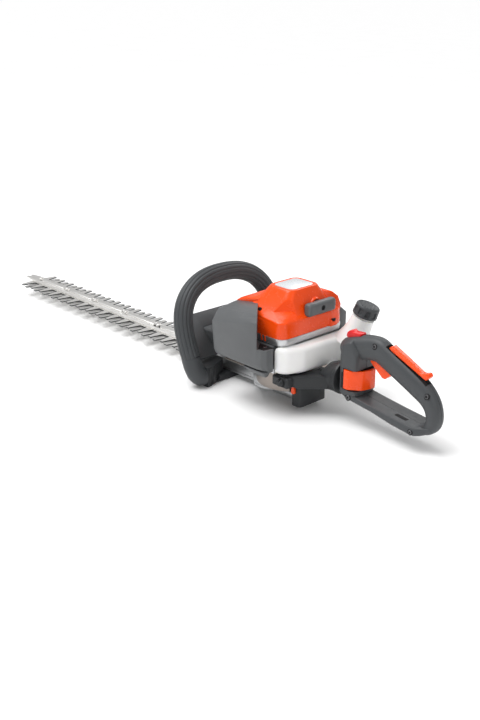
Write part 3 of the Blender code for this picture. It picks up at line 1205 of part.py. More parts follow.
def make_handle_bracket():
    """The beam under the gearcase with a ribbed block at each end for the handle's feet."""
    end_y = FRONT_FOOT_Y - CLEARANCE
    bracket = box((-166.0, -118.0), (-end_y, end_y), (0.0, GEARCASE_FLOOR_Z - CLEARANCE), 2.0, 1)
    for side in (-1.0, 1.0):
        plan = [(-112.0, end_y), (-116.0, 62.0), (-132.0, 27.0), (-164.0, 27.0), (-158.0, end_y)]
        block = prism(rounded([(x, y * side) for x, y in plan], [2.0, 6.0, 3.0, 4.0, 2.0], 2), 0.0, 33.0)
        join(bracket, block)
        for y in (48.0, 64.0):
            x = -112.0 if y > 60.0 else -118.0
            cut(bracket, box((x - 4.0, x + 14.0), sorted((side * y, side * (y + 7.0))), (4.0, 29.0)))
    part(bracket, "handle_bracket", "black")


def make_front_housing():
    """The raised housing over the gearcase, ahead of the crankcase."""
    x = FRONT_BOX_X
    half = FRONT_BOX_HALF_WIDTH
    top = FRONT_BOX_TOP_Z
    low = GEARCASE_TOP_Z + CLEARANCE
    sections = [(low, half - 13.0, 10.0), (low + 11.0, half, 0.0), (top - 3.0, half, 0.0), (top, half - 2.0, 2.0)]
    rings = [level(rectangle((x[0] + ends, x[1]), (-wide, wide), 5.0), z) for z, wide, ends in sections]
    shell = loft(rings)
    inner = [level(rectangle((x[0] + ends + WALL, x[1] + 5.0), (-wide + WALL, wide - WALL), 4.0), z)
             for z, wide, ends in ((low - 2.0, half - 14.0, 10.0), (low + 11.0, half, 0.0), (top - WALL, half, 0.0))]
    cut(shell, loft(inner))
    part(shell, "front_housing", "dark_gray")


def make_hand_guard():
    """A shield that leans away from the hand, notched for the front housing."""
    (x0, z0), (x1, z1) = GUARD_BOTTOM, GUARD_TOP
    low_half, top_half = GUARD_HALF_WIDTHS
    length = math.hypot(x1 - x0, z1 - z0)
    outline = rounded([(-low_half, 0.0), (low_half, 0.0), (top_half, length), (-top_half, length)],
                      [4.0, 4.0, 16.0, 16.0], 5)
    plate = prism(outline, 0.0, GUARD_THICKNESS, 'X')
    lean = math.atan2(x0 - x1, z1 - z0)
    plate.data.transform(Matrix.Translation((mm(x0), 0.0, mm(z0))) @ Matrix.Rotation(-lean, 4, 'Y'))
    half = FRONT_BOX_HALF_WIDTH + CLEARANCE
    cut(plate, box((FRONT_BOX_X[0] - 1.0, FRONT_BOX_X[1]), (-half, half), (20.0, FRONT_BOX_TOP_Z + CLEARANCE)))
    part(plate, "hand_guard", "dark_gray")


# ------------------------------------------------------------------------------- assembly
def make_cutting_assembly():
    make_blade("upper_blade", UPPER_BLADE_Z, -BLADE_REST)
    make_blade("lower_blade", LOWER_BLADE_Z, BLADE_REST)
    make_guide_bar()
    make_blade_bolts()


def make_drive():
    upper, lower = rod_heights()
    make_drive_gear()
    make_drive_rod("upper_drive_rod", upper, 1.0)
    make_drive_rod("lower_drive_rod", lower, -1.0)
    make_gearcase()
    make_clutch_drum()
    make_clutch_hub()
    make_clutch_cover()


def make_engine():
    make_crankcase()
    make_crank_halves()
    make_cylinder()
    make_piston()
    make_piston_rod()
    make_spark_plug()
    make_muffler()
    make_carburettor()
    make_air_filter()
    make_choke_lever()
    make_primer_bulb()
    make_flywheel()
    make_ignition_coil()
    make_fan_housing()


def make_outside():
    make_starter_cover()
    make_starter()
    make_starter_grip()
    make_side_cover("left_engine_cover", LEFT_COVER_X, LEFT_COVER_Y, LEFT_COVER_Z, -1.0, TANK_LEFT_X - 0.6)
    make_side_cover("right_engine_cover", RIGHT_COVER_X, RIGHT_COVER_Y, RIGHT_COVER_Z, 1.0, RIGHT_COVER_X[1] - 0.5)
    make_tank()
    make_cap()
    make_fuel_line()


def make_handles():
    make_neck()
    make_collar()
    make_handle_shell("handle_shell_left", -1.0)
    make_handle_shell("handle_shell_right", 1.0)
    make_trigger()
    make_lockout()
    make_stop_switch()
    make_release_lever()
    make_front_handle()
    make_handle_bracket()
    make_front_housing()
    make_hand_guard()


make_cutting_assembly()
make_drive()
make_engine()
make_outside()
make_handles()
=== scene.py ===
"""Looks of the hedge trimmer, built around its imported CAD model."""

import json
import math

import bmesh
import bpy
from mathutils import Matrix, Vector


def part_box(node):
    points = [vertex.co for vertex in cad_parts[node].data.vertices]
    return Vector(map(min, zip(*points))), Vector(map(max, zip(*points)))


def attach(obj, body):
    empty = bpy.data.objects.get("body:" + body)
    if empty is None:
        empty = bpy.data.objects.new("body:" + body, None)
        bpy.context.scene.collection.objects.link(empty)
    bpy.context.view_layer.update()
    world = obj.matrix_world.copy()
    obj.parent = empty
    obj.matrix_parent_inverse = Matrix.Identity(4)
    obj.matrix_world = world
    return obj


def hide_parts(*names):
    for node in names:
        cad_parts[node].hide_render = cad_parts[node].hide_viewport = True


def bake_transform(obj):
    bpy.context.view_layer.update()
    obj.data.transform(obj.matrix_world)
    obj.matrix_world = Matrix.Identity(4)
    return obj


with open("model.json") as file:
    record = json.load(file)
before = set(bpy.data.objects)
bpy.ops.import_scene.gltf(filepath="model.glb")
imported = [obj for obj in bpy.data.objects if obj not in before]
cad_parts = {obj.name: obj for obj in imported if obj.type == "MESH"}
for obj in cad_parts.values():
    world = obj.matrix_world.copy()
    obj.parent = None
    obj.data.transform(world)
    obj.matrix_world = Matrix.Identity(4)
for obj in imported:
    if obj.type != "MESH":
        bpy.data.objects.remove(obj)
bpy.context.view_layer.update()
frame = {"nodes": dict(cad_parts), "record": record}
NODES = frame["nodes"]
RECORD = frame["record"]
BODY_OF = {node: body for body, nodes in RECORD["behaviour"]["bodies"].items() for node in nodes}


def middle(node):
    low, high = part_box(node)
    return (Vector(low) + Vector(high)) / 2.0


# Sizes below are in millimetres. X and Y are measured from the crankshaft, Z from the ground.
ENGINE_X = middle("starter_pulley").x * 1000.0
ROPE_Y = 14.0
ROPE_Z = 154.5
ROPE_RADIUS = 1.6
ROPE_RINGS = 90


def place(x, y, z):
    return Vector(((x + ENGINE_X) / 1000.0, y / 1000.0, z / 1000.0))


def node_range(node, axis):
    """A CAD node's lowest and highest value along an axis, in the script's millimetres."""
    low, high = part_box(node)
    shift = ENGINE_X if axis == 0 else 0.0
    return low[axis] * 1000.0 - shift, high[axis] * 1000.0 - shift


# --------------------------------------------------------------------------------- materials
def new_material(name, colour, roughness, metallic=0.0):
    mat = bpy.data.materials.new(name)
    mat.use_nodes = True
    nodes = mat.node_tree.nodes
    shader = nodes["Principled BSDF"]
    shader.inputs["Base Color"].default_value = (*colour, 1.0)
    shader.inputs["Roughness"].default_value = roughness
    shader.inputs["Metallic"].default_value = metallic
    mat.diffuse_color = (*colour, 1.0)
    return mat, shader


def texture(mat, kind, scale, detail=3.0, stretch=(1.0, 1.0, 1.0)):
    """A procedural texture in object space; its scale is in features for each metre."""
    tree = mat.node_tree
    coords = tree.nodes.new("ShaderNodeTexCoord")
    mapping = tree.nodes.new("ShaderNodeMapping")
    mapping.inputs["Scale"].default_value = stretch
    tree.links.new(coords.outputs["Object"], mapping.inputs["Vector"])
    node = tree.nodes.new(kind)
    tree.links.new(mapping.outputs["Vector"], node.inputs["Vector"])
    node.inputs["Scale"].default_value = scale
    if "Detail" in node.inputs:
        node.inputs["Detail"].default_value = detail
    return node


def vary_colour(mat, shader, colour, amount, scale):
    """Slow variation of the base colour about its mean."""
    noise_node = texture(mat, "ShaderNodeTexNoise", scale)
    ramp = mat.node_tree.nodes.new("ShaderNodeValToRGB")
    ramp.color_ramp.elements[0].position = 0.3
    ramp.color_ramp.elements[1].position = 0.7
    ramp.color_ramp.elements[0].color = (*[c * (1.0 - amount) for c in colour], 1.0)
    ramp.color_ramp.elements[1].color = (*[min(1.0, c * (1.0 + amount)) for c in colour], 1.0)
    mat.node_tree.links.new(noise_node.outputs["Fac"], ramp.inputs["Fac"])
    mat.node_tree.links.new(ramp.outputs["Color"], shader.inputs["Base Color"])


def vary_roughness(mat, shader, low, high, scale, stretch=(1.0, 1.0, 1.0)):
    noise_node = texture(mat, "ShaderNodeTexNoise", scale, 4.0, stretch)
    spread = mat.node_tree.nodes.new("ShaderNodeMapRange")
    spread.inputs["From Min"].default_value = 0.3
    spread.inputs["From Max"].default_value = 0.7
    spread.inputs["To Min"].default_value = low
    spread.inputs["To Max"].default_value = high
    mat.node_tree.links.new(noise_node.outputs["Fac"], spread.inputs["Value"])
    mat.node_tree.links.new(spread.outputs["Result"], shader.inputs["Roughness"])


def grain(mat, shader, scale, strength, height, stretch=(1.0, 1.0, 1.0), kind="ShaderNodeTexNoise"):
    """Fine relief; height is in metres."""
    node = texture(mat, kind, scale, 2.0, stretch)
    bump = mat.node_tree.nodes.new("ShaderNodeBump")
    bump.inputs["Strength"].default_value = strength
    bump.inputs["Distance"].default_value = height
    output = node.outputs["Fac"] if "Fac" in node.outputs else node.outputs["Distance"]
    mat.node_tree.links.new(output, bump.inputs["Height"])
    mat.node_tree.links.new(bump.outputs["Normal"], shader.inputs["Normal"])


def plastic(name, colour, roughness, grain_strength=0.35, coat=0.0):
    mat, shader = new_material(name, colour, roughness)
    vary_colour(mat, shader, colour, 0.05, 22.0)
    vary_roughness(mat, shader, roughness - 0.05, roughness + 0.06, 130.0)
    grain(mat, shader, 1500.0, grain_strength, 0.00025)
    shader.inputs["Coat Weight"].default_value = coat
    shader.inputs["Specular IOR Level"].default_value = 0.32
    shader.inputs["Coat Roughness"].default_value = 0.12
    return mat


def metal(name, colour, roughness, stretch=(1.0, 1.0, 1.0), relief=0.15, scale=900.0):
    mat, shader = new_material(name, colour, roughness, 1.0)
    vary_colour(mat, shader, colour, 0.03, 60.0)
    vary_roughness(mat, shader, roughness - 0.07, roughness + 0.08, scale * 0.5, stretch)
    grain(mat, shader, scale, relief, 0.0001, stretch)
    return mat


def milky(name, colour, roughness):
    """Blow-moulded polyethylene: light goes a few millimetres in."""
    mat, shader = new_material(name, colour, roughness)
    shader.inputs["Subsurface Weight"].default_value = 0.35
    shader.inputs["Subsurface Radius"].default_value = (0.006, 0.006, 0.005)
    vary_colour(mat, shader, colour, 0.03, 30.0)
    vary_roughness(mat, shader, roughness - 0.06, roughness + 0.06, 90.0)
    grain(mat, shader, 420.0, 0.12, 0.0004)
    return mat


def label_material():
    """Satin printed plate with a slow sheen from one side to the other and no text."""
    mat, shader = new_material("plate_satin", (0.74, 0.77, 0.8), 0.28, 0.3)
    vary_colour(mat, shader, (0.74, 0.77, 0.8), 0.02, 26.0)
    vary_roughness(mat, shader, 0.26, 0.32, 900.0)
    grain(mat, shader, 1200.0, 0.03, 0.0001)
    return mat


BRUSHED = (0.06, 1.0, 1.0)
M = {
    "orange": plastic("orange_gloss", (0.9, 0.072, 0.003), 0.24, 0.04, 0.12),
    "cover_gray": plastic("satin_gray", (0.108, 0.113, 0.117), 0.4, 0.18),
    "dark_gray": plastic("grained_dark_gray", (0.06, 0.064, 0.068), 0.44, 0.25),
    "guard_gray": plastic("guard_gray", (0.078, 0.082, 0.086), 0.46, 0.25),
    "rubber": plastic("grip_rubber", (0.055, 0.059, 0.063), 0.48, 0.25),
    "black": plastic("black_moulding", (0.024, 0.026, 0.028), 0.42, 0.25),
    # Near-black painted shade: it stands for the shade inside holes, slots, hollows and the gaps round screw heads;
    # cutting tools borrow it too.
    "painted_shade": plastic("recess_painted_shade", (0.006, 0.006, 0.007), 0.7, 0.2),
    "tank_white": milky("tank_polyethylene", (0.86, 0.86, 0.85), 0.34),
    "silver": metal("cast_aluminium", (0.6, 0.61, 0.62), 0.42, relief=0.5, scale=1400.0),
    "steel": metal("ground_steel", (0.84, 0.83, 0.81), 0.36, BRUSHED, 0.25, 2600.0),
    # Painted shade for the blades' side faces and tooth edges: the ground steel darkened where less light falls.
    "steel_side_painted_shade": metal("steel_side_painted_shade", (0.1, 0.105, 0.11), 0.45, (1.0, 0.06, 1.0), 0.4, 2600.0),
    "dark_steel": metal("phosphated_screw", (0.12, 0.12, 0.125), 0.38, relief=0.3),
    "taupe": metal("taupe_metallic", (0.3, 0.265, 0.24), 0.38, relief=0.35, scale=1700.0),
    "red": plastic("red_gloss", (0.7, 0.012, 0.014), 0.32, 0.06, 0.1),
    "label": label_material(),
}


# -------------------------------------------------------------------------------- mesh tools
def make(name, verts, faces, key, body="machine", replaces=(), angle=32.0):
    """A new piece from points in millimetres, riding on a body."""
    mesh = bpy.data.meshes.new(name)
    mesh.from_pydata([place(*v) for v in verts], [], faces)
    bm = bmesh.new()
    bm.from_mesh(mesh)
    bmesh.ops.recalc_face_normals(bm, faces=bm.faces)
    bm.to_mesh(mesh)
    bm.free()
    obj = bpy.data.objects.new(name, mesh)
    bpy.context.collection.objects.link(obj)
    return finish(obj, key, body, replaces, angle)


def finish(obj, key, body, replaces=(), angle=32.0):
    obj.data.materials.clear()
    obj.data.materials.append(M[key])
    smooth(obj, angle)
    if body:
        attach(obj, body)
    if replaces:
        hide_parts(*replaces)
    return obj


def smooth(obj, angle=32.0):
    limit = math.radians(angle)
    bm = bmesh.new()
    bm.from_mesh(obj.data)
    for face in bm.faces:
        face.smooth = True
    for edge in bm.edges:
        edge.smooth = len(edge.link_faces) == 2 and edge.calc_face_angle(0.0) < limit
    bm.to_mesh(obj.data)
    bm.free()


def bake(obj, angle=32.0):
    """Applies the piece's modifiers."""
    graph = bpy.context.evaluated_depsgraph_get()
    mesh = bpy.data.meshes.new_from_object(obj.evaluated_get(graph))
    obj.modifiers.clear()
    obj.data = mesh
    smooth(obj, angle)
    return obj


def soften(obj, width, segments=2, limit=28.0, angle=32.0, edge_material=None):
    """Rounds the piece's edges by a width in millimetres."""
    step = obj.modifiers.new("soften", 'BEVEL')
    step.width = width / 1000.0
    step.segments = segments
    step.limit_method = 'ANGLE'
    step.angle_limit = math.radians(limit)
    step.miter_outer = 'MITER_ARC'
    if edge_material:
        obj.data.materials.append(M[edge_material])
        step.material = 1
    return bake(obj, angle)


def cut(obj, *tools):
    for tool in tools:
        step = obj.modifiers.new("cut", 'BOOLEAN')
        step.operation = 'DIFFERENCE'
        step.solver = 'EXACT'
        step.object = tool
        bake(obj)
        bpy.data.objects.remove(tool, do_unlink=True)
    return obj


def tool(verts, faces):
    """A cutting solid, which never becomes a piece."""
    return make("tool", verts, faces, "painted_shade", body=None)


def loft_faces(count, rings, closed=True):
    faces = []
    for k in range(rings - 1):
        for i in range(count):
            j = (i + 1) % count
            faces.append((k * count + i, k * count + j, (k + 1) * count + j, (k + 1) * count + i))
    if closed:
        faces.append(tuple(reversed(range(count))))
        faces.append(tuple(range((rings - 1) * count, rings * count)))
    return faces


def loft(name, rings, key, body="machine", replaces=(), angle=32.0):
    verts = [point for ring in rings for point in ring]
    return make(name, verts, loft_faces(len(rings[0]), len(rings)), key, body, replaces, angle)


def loft_tool(rings):
    return tool([point for ring in rings for point in ring], loft_faces(len(rings[0]), len(rings)))


def along(axis, u, v, w):
    """A point whose w lies along an axis: X, Y or Z."""
    return {'X': (w, u, v), 'Y': (u, w, v), 'Z': (u, v, w)}[axis]


def slab(outline, low, high, axis):
    return [[along(axis, u, v, w) for u, v in outline] for w in (low, high)]


def box_tool(x, y, z):
    return loft_tool(slab([(x[0], y[0]), (x[1], y[0]), (x[1], y[1]), (x[0], y[1])], z[0], z[1], 'Z'))


def rod_rings(start, end, radii, count=20):
    """Rings of a round bar; radii lists (share of the length, radius)."""
    start, end = Vector(start), Vector(end)
    axis = (end - start).normalized()
    side = axis.orthogonal().normalized()
    other = axis.cross(side)
    rings = []
    for share, radius in radii:
        centre = start.lerp(end, share)
        rings.append([tuple(centre + (side * math.cos(a) + other * math.sin(a)) * radius)
                      for a in (2.0 * math.pi * i / count for i in range(count))])
    return rings


def rod_tool(start, end, radius, count=20):
    return loft_tool(rod_rings(start, end, [(0.0, radius), (1.0, radius)], count))


def hull(name, points, key, body="machine", replaces=()):
    bm = bmesh.new()
    for point in points:
        bm.verts.new(place(*point))
    bmesh.ops.convex_hull(bm, input=bm.verts)
    bmesh.ops.dissolve_limit(bm, angle_limit=math.radians(2.0), verts=bm.verts, edges=bm.edges)
    mesh = bpy.data.meshes.new(name)
    bm.to_mesh(mesh)
    bm.free()
    obj = bpy.data.objects.new(name, mesh)
    bpy.context.collection.objects.link(obj)
    return finish(obj, key, body, replaces)


def rounded_rect(x, y, radius, steps=6):
    """A rectangle with round corners, as (u, v) points."""
    points = []
    corners = [(x[1], y[1], 0.0), (x[0], y[1], 90.0), (x[0], y[0], 180.0), (x[1], y[0], 270.0)]
    for cx, cy, start in corners:
        px = cx - math.copysign(radius, cx - (x[0] + x[1]) / 2.0)
        py = cy - math.copysign(radius, cy - (y[0] + y[1]) / 2.0)
        for k in range(steps + 1):
            a = math.radians(start + 90.0 * k / steps)
            points.append((px + radius * math.cos(a), py + radius * math.sin(a)))
    return points


def rounded(corners, radii, steps=4):
    """An outline with its corners replaced by arcs."""
    outline = []
    for i, corner in enumerate(corners):
        here = Vector(corner)
        before = Vector(corners[i - 1]) - here
        after = Vector(corners[(i + 1) % len(corners)]) - here
        half = before.angle(after) / 2.0
        reach = min(radii[i] / math.tan(half), 0.48 * before.length, 0.48 * after.length)
        for k in range(steps + 1):
            t = k / steps
            a, b = here + before.normalized() * reach, here + after.normalized() * reach
            outline.append(tuple(a * (1 - t) ** 2 + here * 2 * t * (1 - t) + b * t ** 2))
    return outline


def from_node(node, key, width=0.8, segments=2, angle=32.0, edge_material=None):
    """The CAD node's own shape with rounded edges, standing for it."""
    obj = NODES[node].copy()
    obj.data = NODES[node].data.copy()
    obj.name = node + "_finished"
    bpy.context.collection.objects.link(obj)
    bm = bmesh.new()
    bm.from_mesh(obj.data)
    bmesh.ops.remove_doubles(bm, verts=bm.verts, dist=0.000002)
    bmesh.ops.dissolve_limit(bm, angle_limit=math.radians(1.0), verts=bm.verts, edges=bm.edges)
    bm.to_mesh(obj.data)
    bm.free()
    finish(obj, key, BODY_OF[node], (node,), angle)
    return soften(obj, width, segments, 28.0, angle, edge_material)


# ------------------------------------------------------------------------------------ screws
def screw(name, centre, direction, radius, body, depth=3.0):
    """A six-lobed screw head sunk in a ring of painted shade: a near-black disc round the head stands for the shaded
    hollow.
    """
    centre, direction = Vector(centre), Vector(direction).normalized()
    # The ring is painted shade, a near-black disc that stands for the shadowed hollow round the head.
    ring = loft(name + "_recess", rod_rings(centre - direction * depth, centre + direction * 0.25,
                                            [(0.0, radius * 1.35), (0.9, radius * 1.35), (1.0, radius * 1.2)], 24),
                "painted_shade", body)
    head = loft(name, rod_rings(centre - direction * depth, centre + direction * 0.7,
                                [(0.0, radius), (0.85, radius), (1.0, radius * 0.86)], 24), "dark_steel", body)
    lobes = [radius * (0.5 + 0.1 * math.cos(6.0 * 2.0 * math.pi * i / 24)) for i in range(24)]
    socket = rod_rings(centre - direction * 1.2, centre + direction * 3.0, [(0.0, 1.0), (1.0, 1.0)], 24)
    for rings_part, offset in zip(socket, (-1.2, 3.0)):
        core = centre + direction * offset
        for i, point in enumerate(rings_part):
            arm = Vector(point) - core
            rings_part[i] = tuple(core + arm.normalized() * lobes[i])
    cut(head, loft_tool(socket))
    return ring, head


# ------------------------------------------------------------------------------------ blades
def make_blades():
    for blade in ("upper_blade", "lower_blade"):
        obj = from_node(blade, "steel", 0.45, 1)
        # Faces that are not flat on top take the darker steel: painted shade on the blade's sides and tooth edges.
        obj.data.materials.append(M["steel_side_painted_shade"])
        for face in obj.data.polygons:
            face.material_index = 1 if abs(face.normal.z) < 0.9 else 0
    from_node("guide_bar", "steel", 0.6)
    for i in range(1, 7):
        from_node("blade_bolt_%d" % i, "steel", 0.5)


# ------------------------------------------------------------------------------ left cover
COVER_Y = -98.0
SEAM = ((36.0, -112.0), (-42.0, -34.0))    # the upper rear end, seen from above


def left_cover_section(x, shrink=0.0):
    """One YZ outline of the left cover: a side wall, two creases and the top."""
    crease = 129.0 + (x + 70.0) * 0.2
    upper = 145.5 + (x + 74.0) * 0.13
    top = 149.5 + (x + 78.0) * 0.17
    return [(x, -46.0, 70.5), (x, -84.0, 70.5), (x, COVER_Y + 2.5 + shrink, 76.0), (x, COVER_Y + shrink, 84.0),
            (x, COVER_Y + shrink, crease - shrink), (x, -93.0 + shrink, crease + 7.0 - shrink),
            (x, -84.0 + shrink, upper - shrink), (x, -66.0, top - 2.5 - shrink), (x, -47.0, top - shrink)]


def make_left_cover():
    rings = [left_cover_section(x, inset) for x, inset in ((-78.5, 7.0), (-75.0, 2.0), (-66.0, 0.0), (-20.0, 0.0),
                                                           (20.0, 0.0), (29.0, 2.0), (34.0, 9.0))]
    for i in range(3):
        rings[i] = [(px + (z - 71.0) * -0.09, y, z) for px, y, z in rings[i]]
    cover = loft("left_cover_shell", rings, "cover_gray", "machine", ("left_engine_cover",))
    plan = [SEAM[0], SEAM[1], (90.0, -34.0), (90.0, -112.0)]
    cut(cover, loft_tool(slab(plan, 107.5, 200.0, 'Z')))
    cut(cover, box_tool((27.0, 90.0), (-75.0, -30.0), (60.0, 120.0)))
    soften(cover, 2.4, 3, 20.0, 40.0)
    # Painted shade: a thin near-black sheet in the dark hollow behind the cover's upper rear end, under the band.
    painted_shade = hull("left_cover_recess", [(19.0, -92.0, 108.2), (30.0, -92.0, 108.2), (34.0, -74.0, 108.2),
                                        (4.0, -74.0, 108.2), (19.0, -92.0, 107.0), (30.0, -92.0, 107.0),
                                        (34.0, -74.0, 107.0), (4.0, -74.0, 107.0)], "painted_shade")
    soften(painted_shade, 0.5)
    screw("left_cover_screw", (23.0, -82.0, 108.6), (0.0, 0.0, 1.0), 3.6, "machine")
    lip = hull("left_cover_lip", [(-14.0, -94.0, 72.5), (34.0, -94.0, 72.5), (34.0, -80.0, 72.5), (-14.0, -80.0, 72.5),
                                  (0.0, -90.0, 64.0), (32.0, -90.0, 64.0), (32.0, -84.0, 64.0), (0.0, -84.0, 64.0)],
               "cover_gray")
    soften(lip, 1.6)
    low_y = COVER_Y + 7.5
    for i in range(9):
        x = -58.0 + i * 5.0
        fin = hull("air_slot_%d" % (i + 1), [
            (x, low_y - 1.0, 71.2), (x + 2.2, low_y - 1.0, 71.6), (x, low_y + 9.0, 69.8), (x + 2.2, low_y + 9.0, 69.8),
            (x, low_y + 4.0, 67.5), (x + 2.2, low_y + 4.0, 67.5), (x, low_y + 9.0, 67.5),
            (x + 2.2, low_y + 9.0, 67.5)], "taupe")
        soften(fin, 0.4, 1)


# ---------------------------------------------------------------------------- starter cover
def cover_ring(z, x, y, radius):
    """One level of the orange cover."""
    return [(px, py, z) for px, py in rounded_rect(x, y, radius, 7)]


def make_starter_cover():
    x0, x1 = node_range("starter_cover", 0)
    x1 = min(x1, 43.0)
    y0, y1 = node_range("starter_cover", 1)
    top = node_range("starter_cover", 2)[1]
    rings = []
    for z, grow, radius in ((119.0, 0.0, 15.0), (119.8, 0.6, 15.5), (130.0, 0.3, 15.0), (142.0, -0.6, 15.0),
                            (143.2, -1.4, 15.0), (145.4, -3.6, 15.0)):
        rings.append(cover_ring(z, (x0 - grow, x1 + grow), (y0 - grow, y1 + grow), radius))
    dome = [(152.0, 0.2), (160.0, 0.42), (168.0, 0.62), (175.0, 0.79), (180.0, 0.9), (182.6, 0.96), (top - 0.2, 1.0)]
    for z, share in dome:
        rings.append(cover_ring(z, (x0 + 5.0 + (-25.5 - x0 - 5.0) * share, x1 - 5.0 + (25.5 - x1 + 5.0) * share),
                                (y0 + 5.0 + (-30.5 - y0 - 5.0) * share, y1 - 5.0 + (30.5 - y1 + 5.0) * share),
                                16.0 - 4.0 * share))
    cover = loft("starter_cover_shell", rings, "orange", "machine", ("starter_cover",), 40.0)
    band = [[(px, py, z) for px, py in rounded_rect((x0 - g, x1 + g), (y0 - g, y1 + g), 15.0, 7)]
            for z, g in ((107.6, -2.0), (108.6, 0.2), (118.2, 1.2), (119.4, 0.9))]
    soften(loft("fan_housing_band", band, "silver", "machine", ("fan_housing",), 40.0), 0.5, 2)
    corner = hull("tool", [(x, y, z) for z, px, py in ((147.5, 31.0, -36.0), (190.0, 24.0, -31.5))
                           for x, y in ((px - 70.0, py - 70.0), (px + 70.0, py + 70.0), (120.0, -120.0))],
                  "painted_shade", None)
    cut(cover, corner)
    seat = rounded_rect((-20.5, 20.5), (-25.5, 25.5), 8.0)
    cut(cover, loft_tool(slab(seat, top - 1.2, top + 4.0, 'Z')))
    soften(cover, 0.7, 2, 24.0, 40.0)
    plate_line = rounded_rect((-20.0, 20.0), (-25.0, 25.0), 7.6)
    plate = loft("label_plate_finished", [[(u * share, v * share, z) for u, v in plate_line]
                                          for share, z in ((1.0, top - 1.4), (1.0, top - 0.1), (0.97, top + 0.25))],
                 "label", "machine", ("label_plate",))
    smooth(plate, 50.0)
    wing = hull("cover_left_ridge", [(-80.0, -48.0, 146.0), (-80.0, 20.0, 146.0),
                                     (-74.0, -49.0, 152.5), (-74.0, 20.0, 152.5),
                                     (-66.0, -47.0, 158.0), (-66.0, 16.0, 158.0), (-28.0, -49.0, 163.5),
                                     (-28.0, 10.0, 176.0), (-28.0, -40.0, 168.0), (-40.0, -47.0, 163.0),
                                     (-20.0, -44.0, 140.0), (-78.0, -40.0, 128.0), (-20.0, 20.0, 128.0),
                                     (-78.0, 20.0, 128.0)], "orange")
    soften(wing, 2.6, 3, 16.0, 45.0)
    ledge = hull("cover_left_ledge", [(-30.0, -62.0, 150.0), (6.0, -66.5, 145.5), (34.0, -66.5, 143.5),
                                      (42.0, -58.0, 143.5), (42.5, 8.0, 143.5), (-30.0, -44.0, 158.0),
                                      (2.0, -50.0, 157.5), (31.0, -34.0, 155.0), (36.0, 4.0, 151.0),
                                      (-30.0, -40.0, 130.0), (42.0, 8.0, 130.0), (42.0, -58.0, 130.0),
                                      (34.0, -66.0, 130.0), (-30.0, -62.0, 130.0)], "orange")
    soften(ledge, 1.6, 3, 14.0, 45.0)
    channel = hull("rope_channel", [(2.0, 2.0, 172.0), (2.0, 26.0, 172.0), (31.0, 6.0, 166.5), (31.0, 22.0, 166.5),
                                    (31.5, 1.0, 158.0), (31.5, 27.0, 158.0), (31.5, 2.0, 146.0), (31.5, 26.0, 146.0),
                                    (2.0, -8.0, 146.0), (2.0, 30.0, 146.0)], "orange")
    soften(channel, 3.0, 3, 16.0, 45.0)
    # Painted shade for the hole in the cover's left face: a short near-black disc on the surface.
    loft("cover_left_hole_shade", rod_rings((-14.0, -56.5, 152.6), (-14.0, -58.8, 153.4),
                                      [(0.0, 3.2), (0.8, 3.2), (1.0, 2.6)], 20), "painted_shade")
    shoulder = hull("cover_right_shoulder", [(-46.0, 66.0, 120.0), (34.0, 66.0, 120.0), (-46.0, 68.0, 146.0),
                                             (37.0, 68.0, 146.0), (-42.0, 65.0, 158.0), (35.0, 63.0, 160.0),
                                             (-40.0, 54.0, 168.0), (31.0, 53.0, 168.5), (20.0, 36.0, 172.0),
                                             (-30.0, 36.0, 172.0), (-40.0, 40.0, 140.0),
                                             (30.0, 40.0, 140.0)], "orange")
    soften(shoulder, 4.0, 3, 20.0, 45.0)
    boss = loft("rope_boss", rod_rings((0.0, ROPE_Y, ROPE_Z), (34.5, ROPE_Y, ROPE_Z),
                                       [(0.0, 14.0), (0.8, 13.2), (0.96, 12.6), (1.0, 11.6)], 36), "orange")
    cut(boss, rod_tool((29.5, ROPE_Y, ROPE_Z), (40.0, ROPE_Y, ROPE_Z), 9.6, 28))
    smooth(boss, 40.0)
    loft("rope_bush", rod_rings((28.5, ROPE_Y, ROPE_Z), (35.0, ROPE_Y, ROPE_Z),
                                [(0.0, 9.2), (0.9, 8.8), (1.0, 7.6)], 28), "black")
    lug = hull("cover_lug", [(38.0, 33.0, 118.0), (46.0, 35.0, 118.0), (46.0, 51.0, 118.0), (38.0, 53.0, 118.0),
                             (38.0, 33.0, 130.0), (45.0, 36.0, 129.0), (45.0, 50.0, 129.0), (38.0, 53.0, 130.0)],
               "orange")
    soften(lug, 2.0, 3)
    screw("cover_lug_screw", (42.0, 43.0, 129.6), (0.15, 0.0, 1.0), 3.8, "machine")
    y = -67.0
    for i, x in enumerate((-1.0, 6.0)):
        tab = hull("cover_tab_%d" % (i + 1), [(x, y - 1.5, 110.5), (x + 4.0, y - 1.5, 110.5), (x, y + 4.0, 110.5),
                                              (x + 4.0, y + 4.0, 110.5), (x, y - 1.2, 120.0), (x + 4.0, y - 1.2, 120.0),
                                              (x, y + 4.0, 120.0), (x + 4.0, y + 4.0, 120.0)], "orange")
        soften(tab, 0.6, 1)


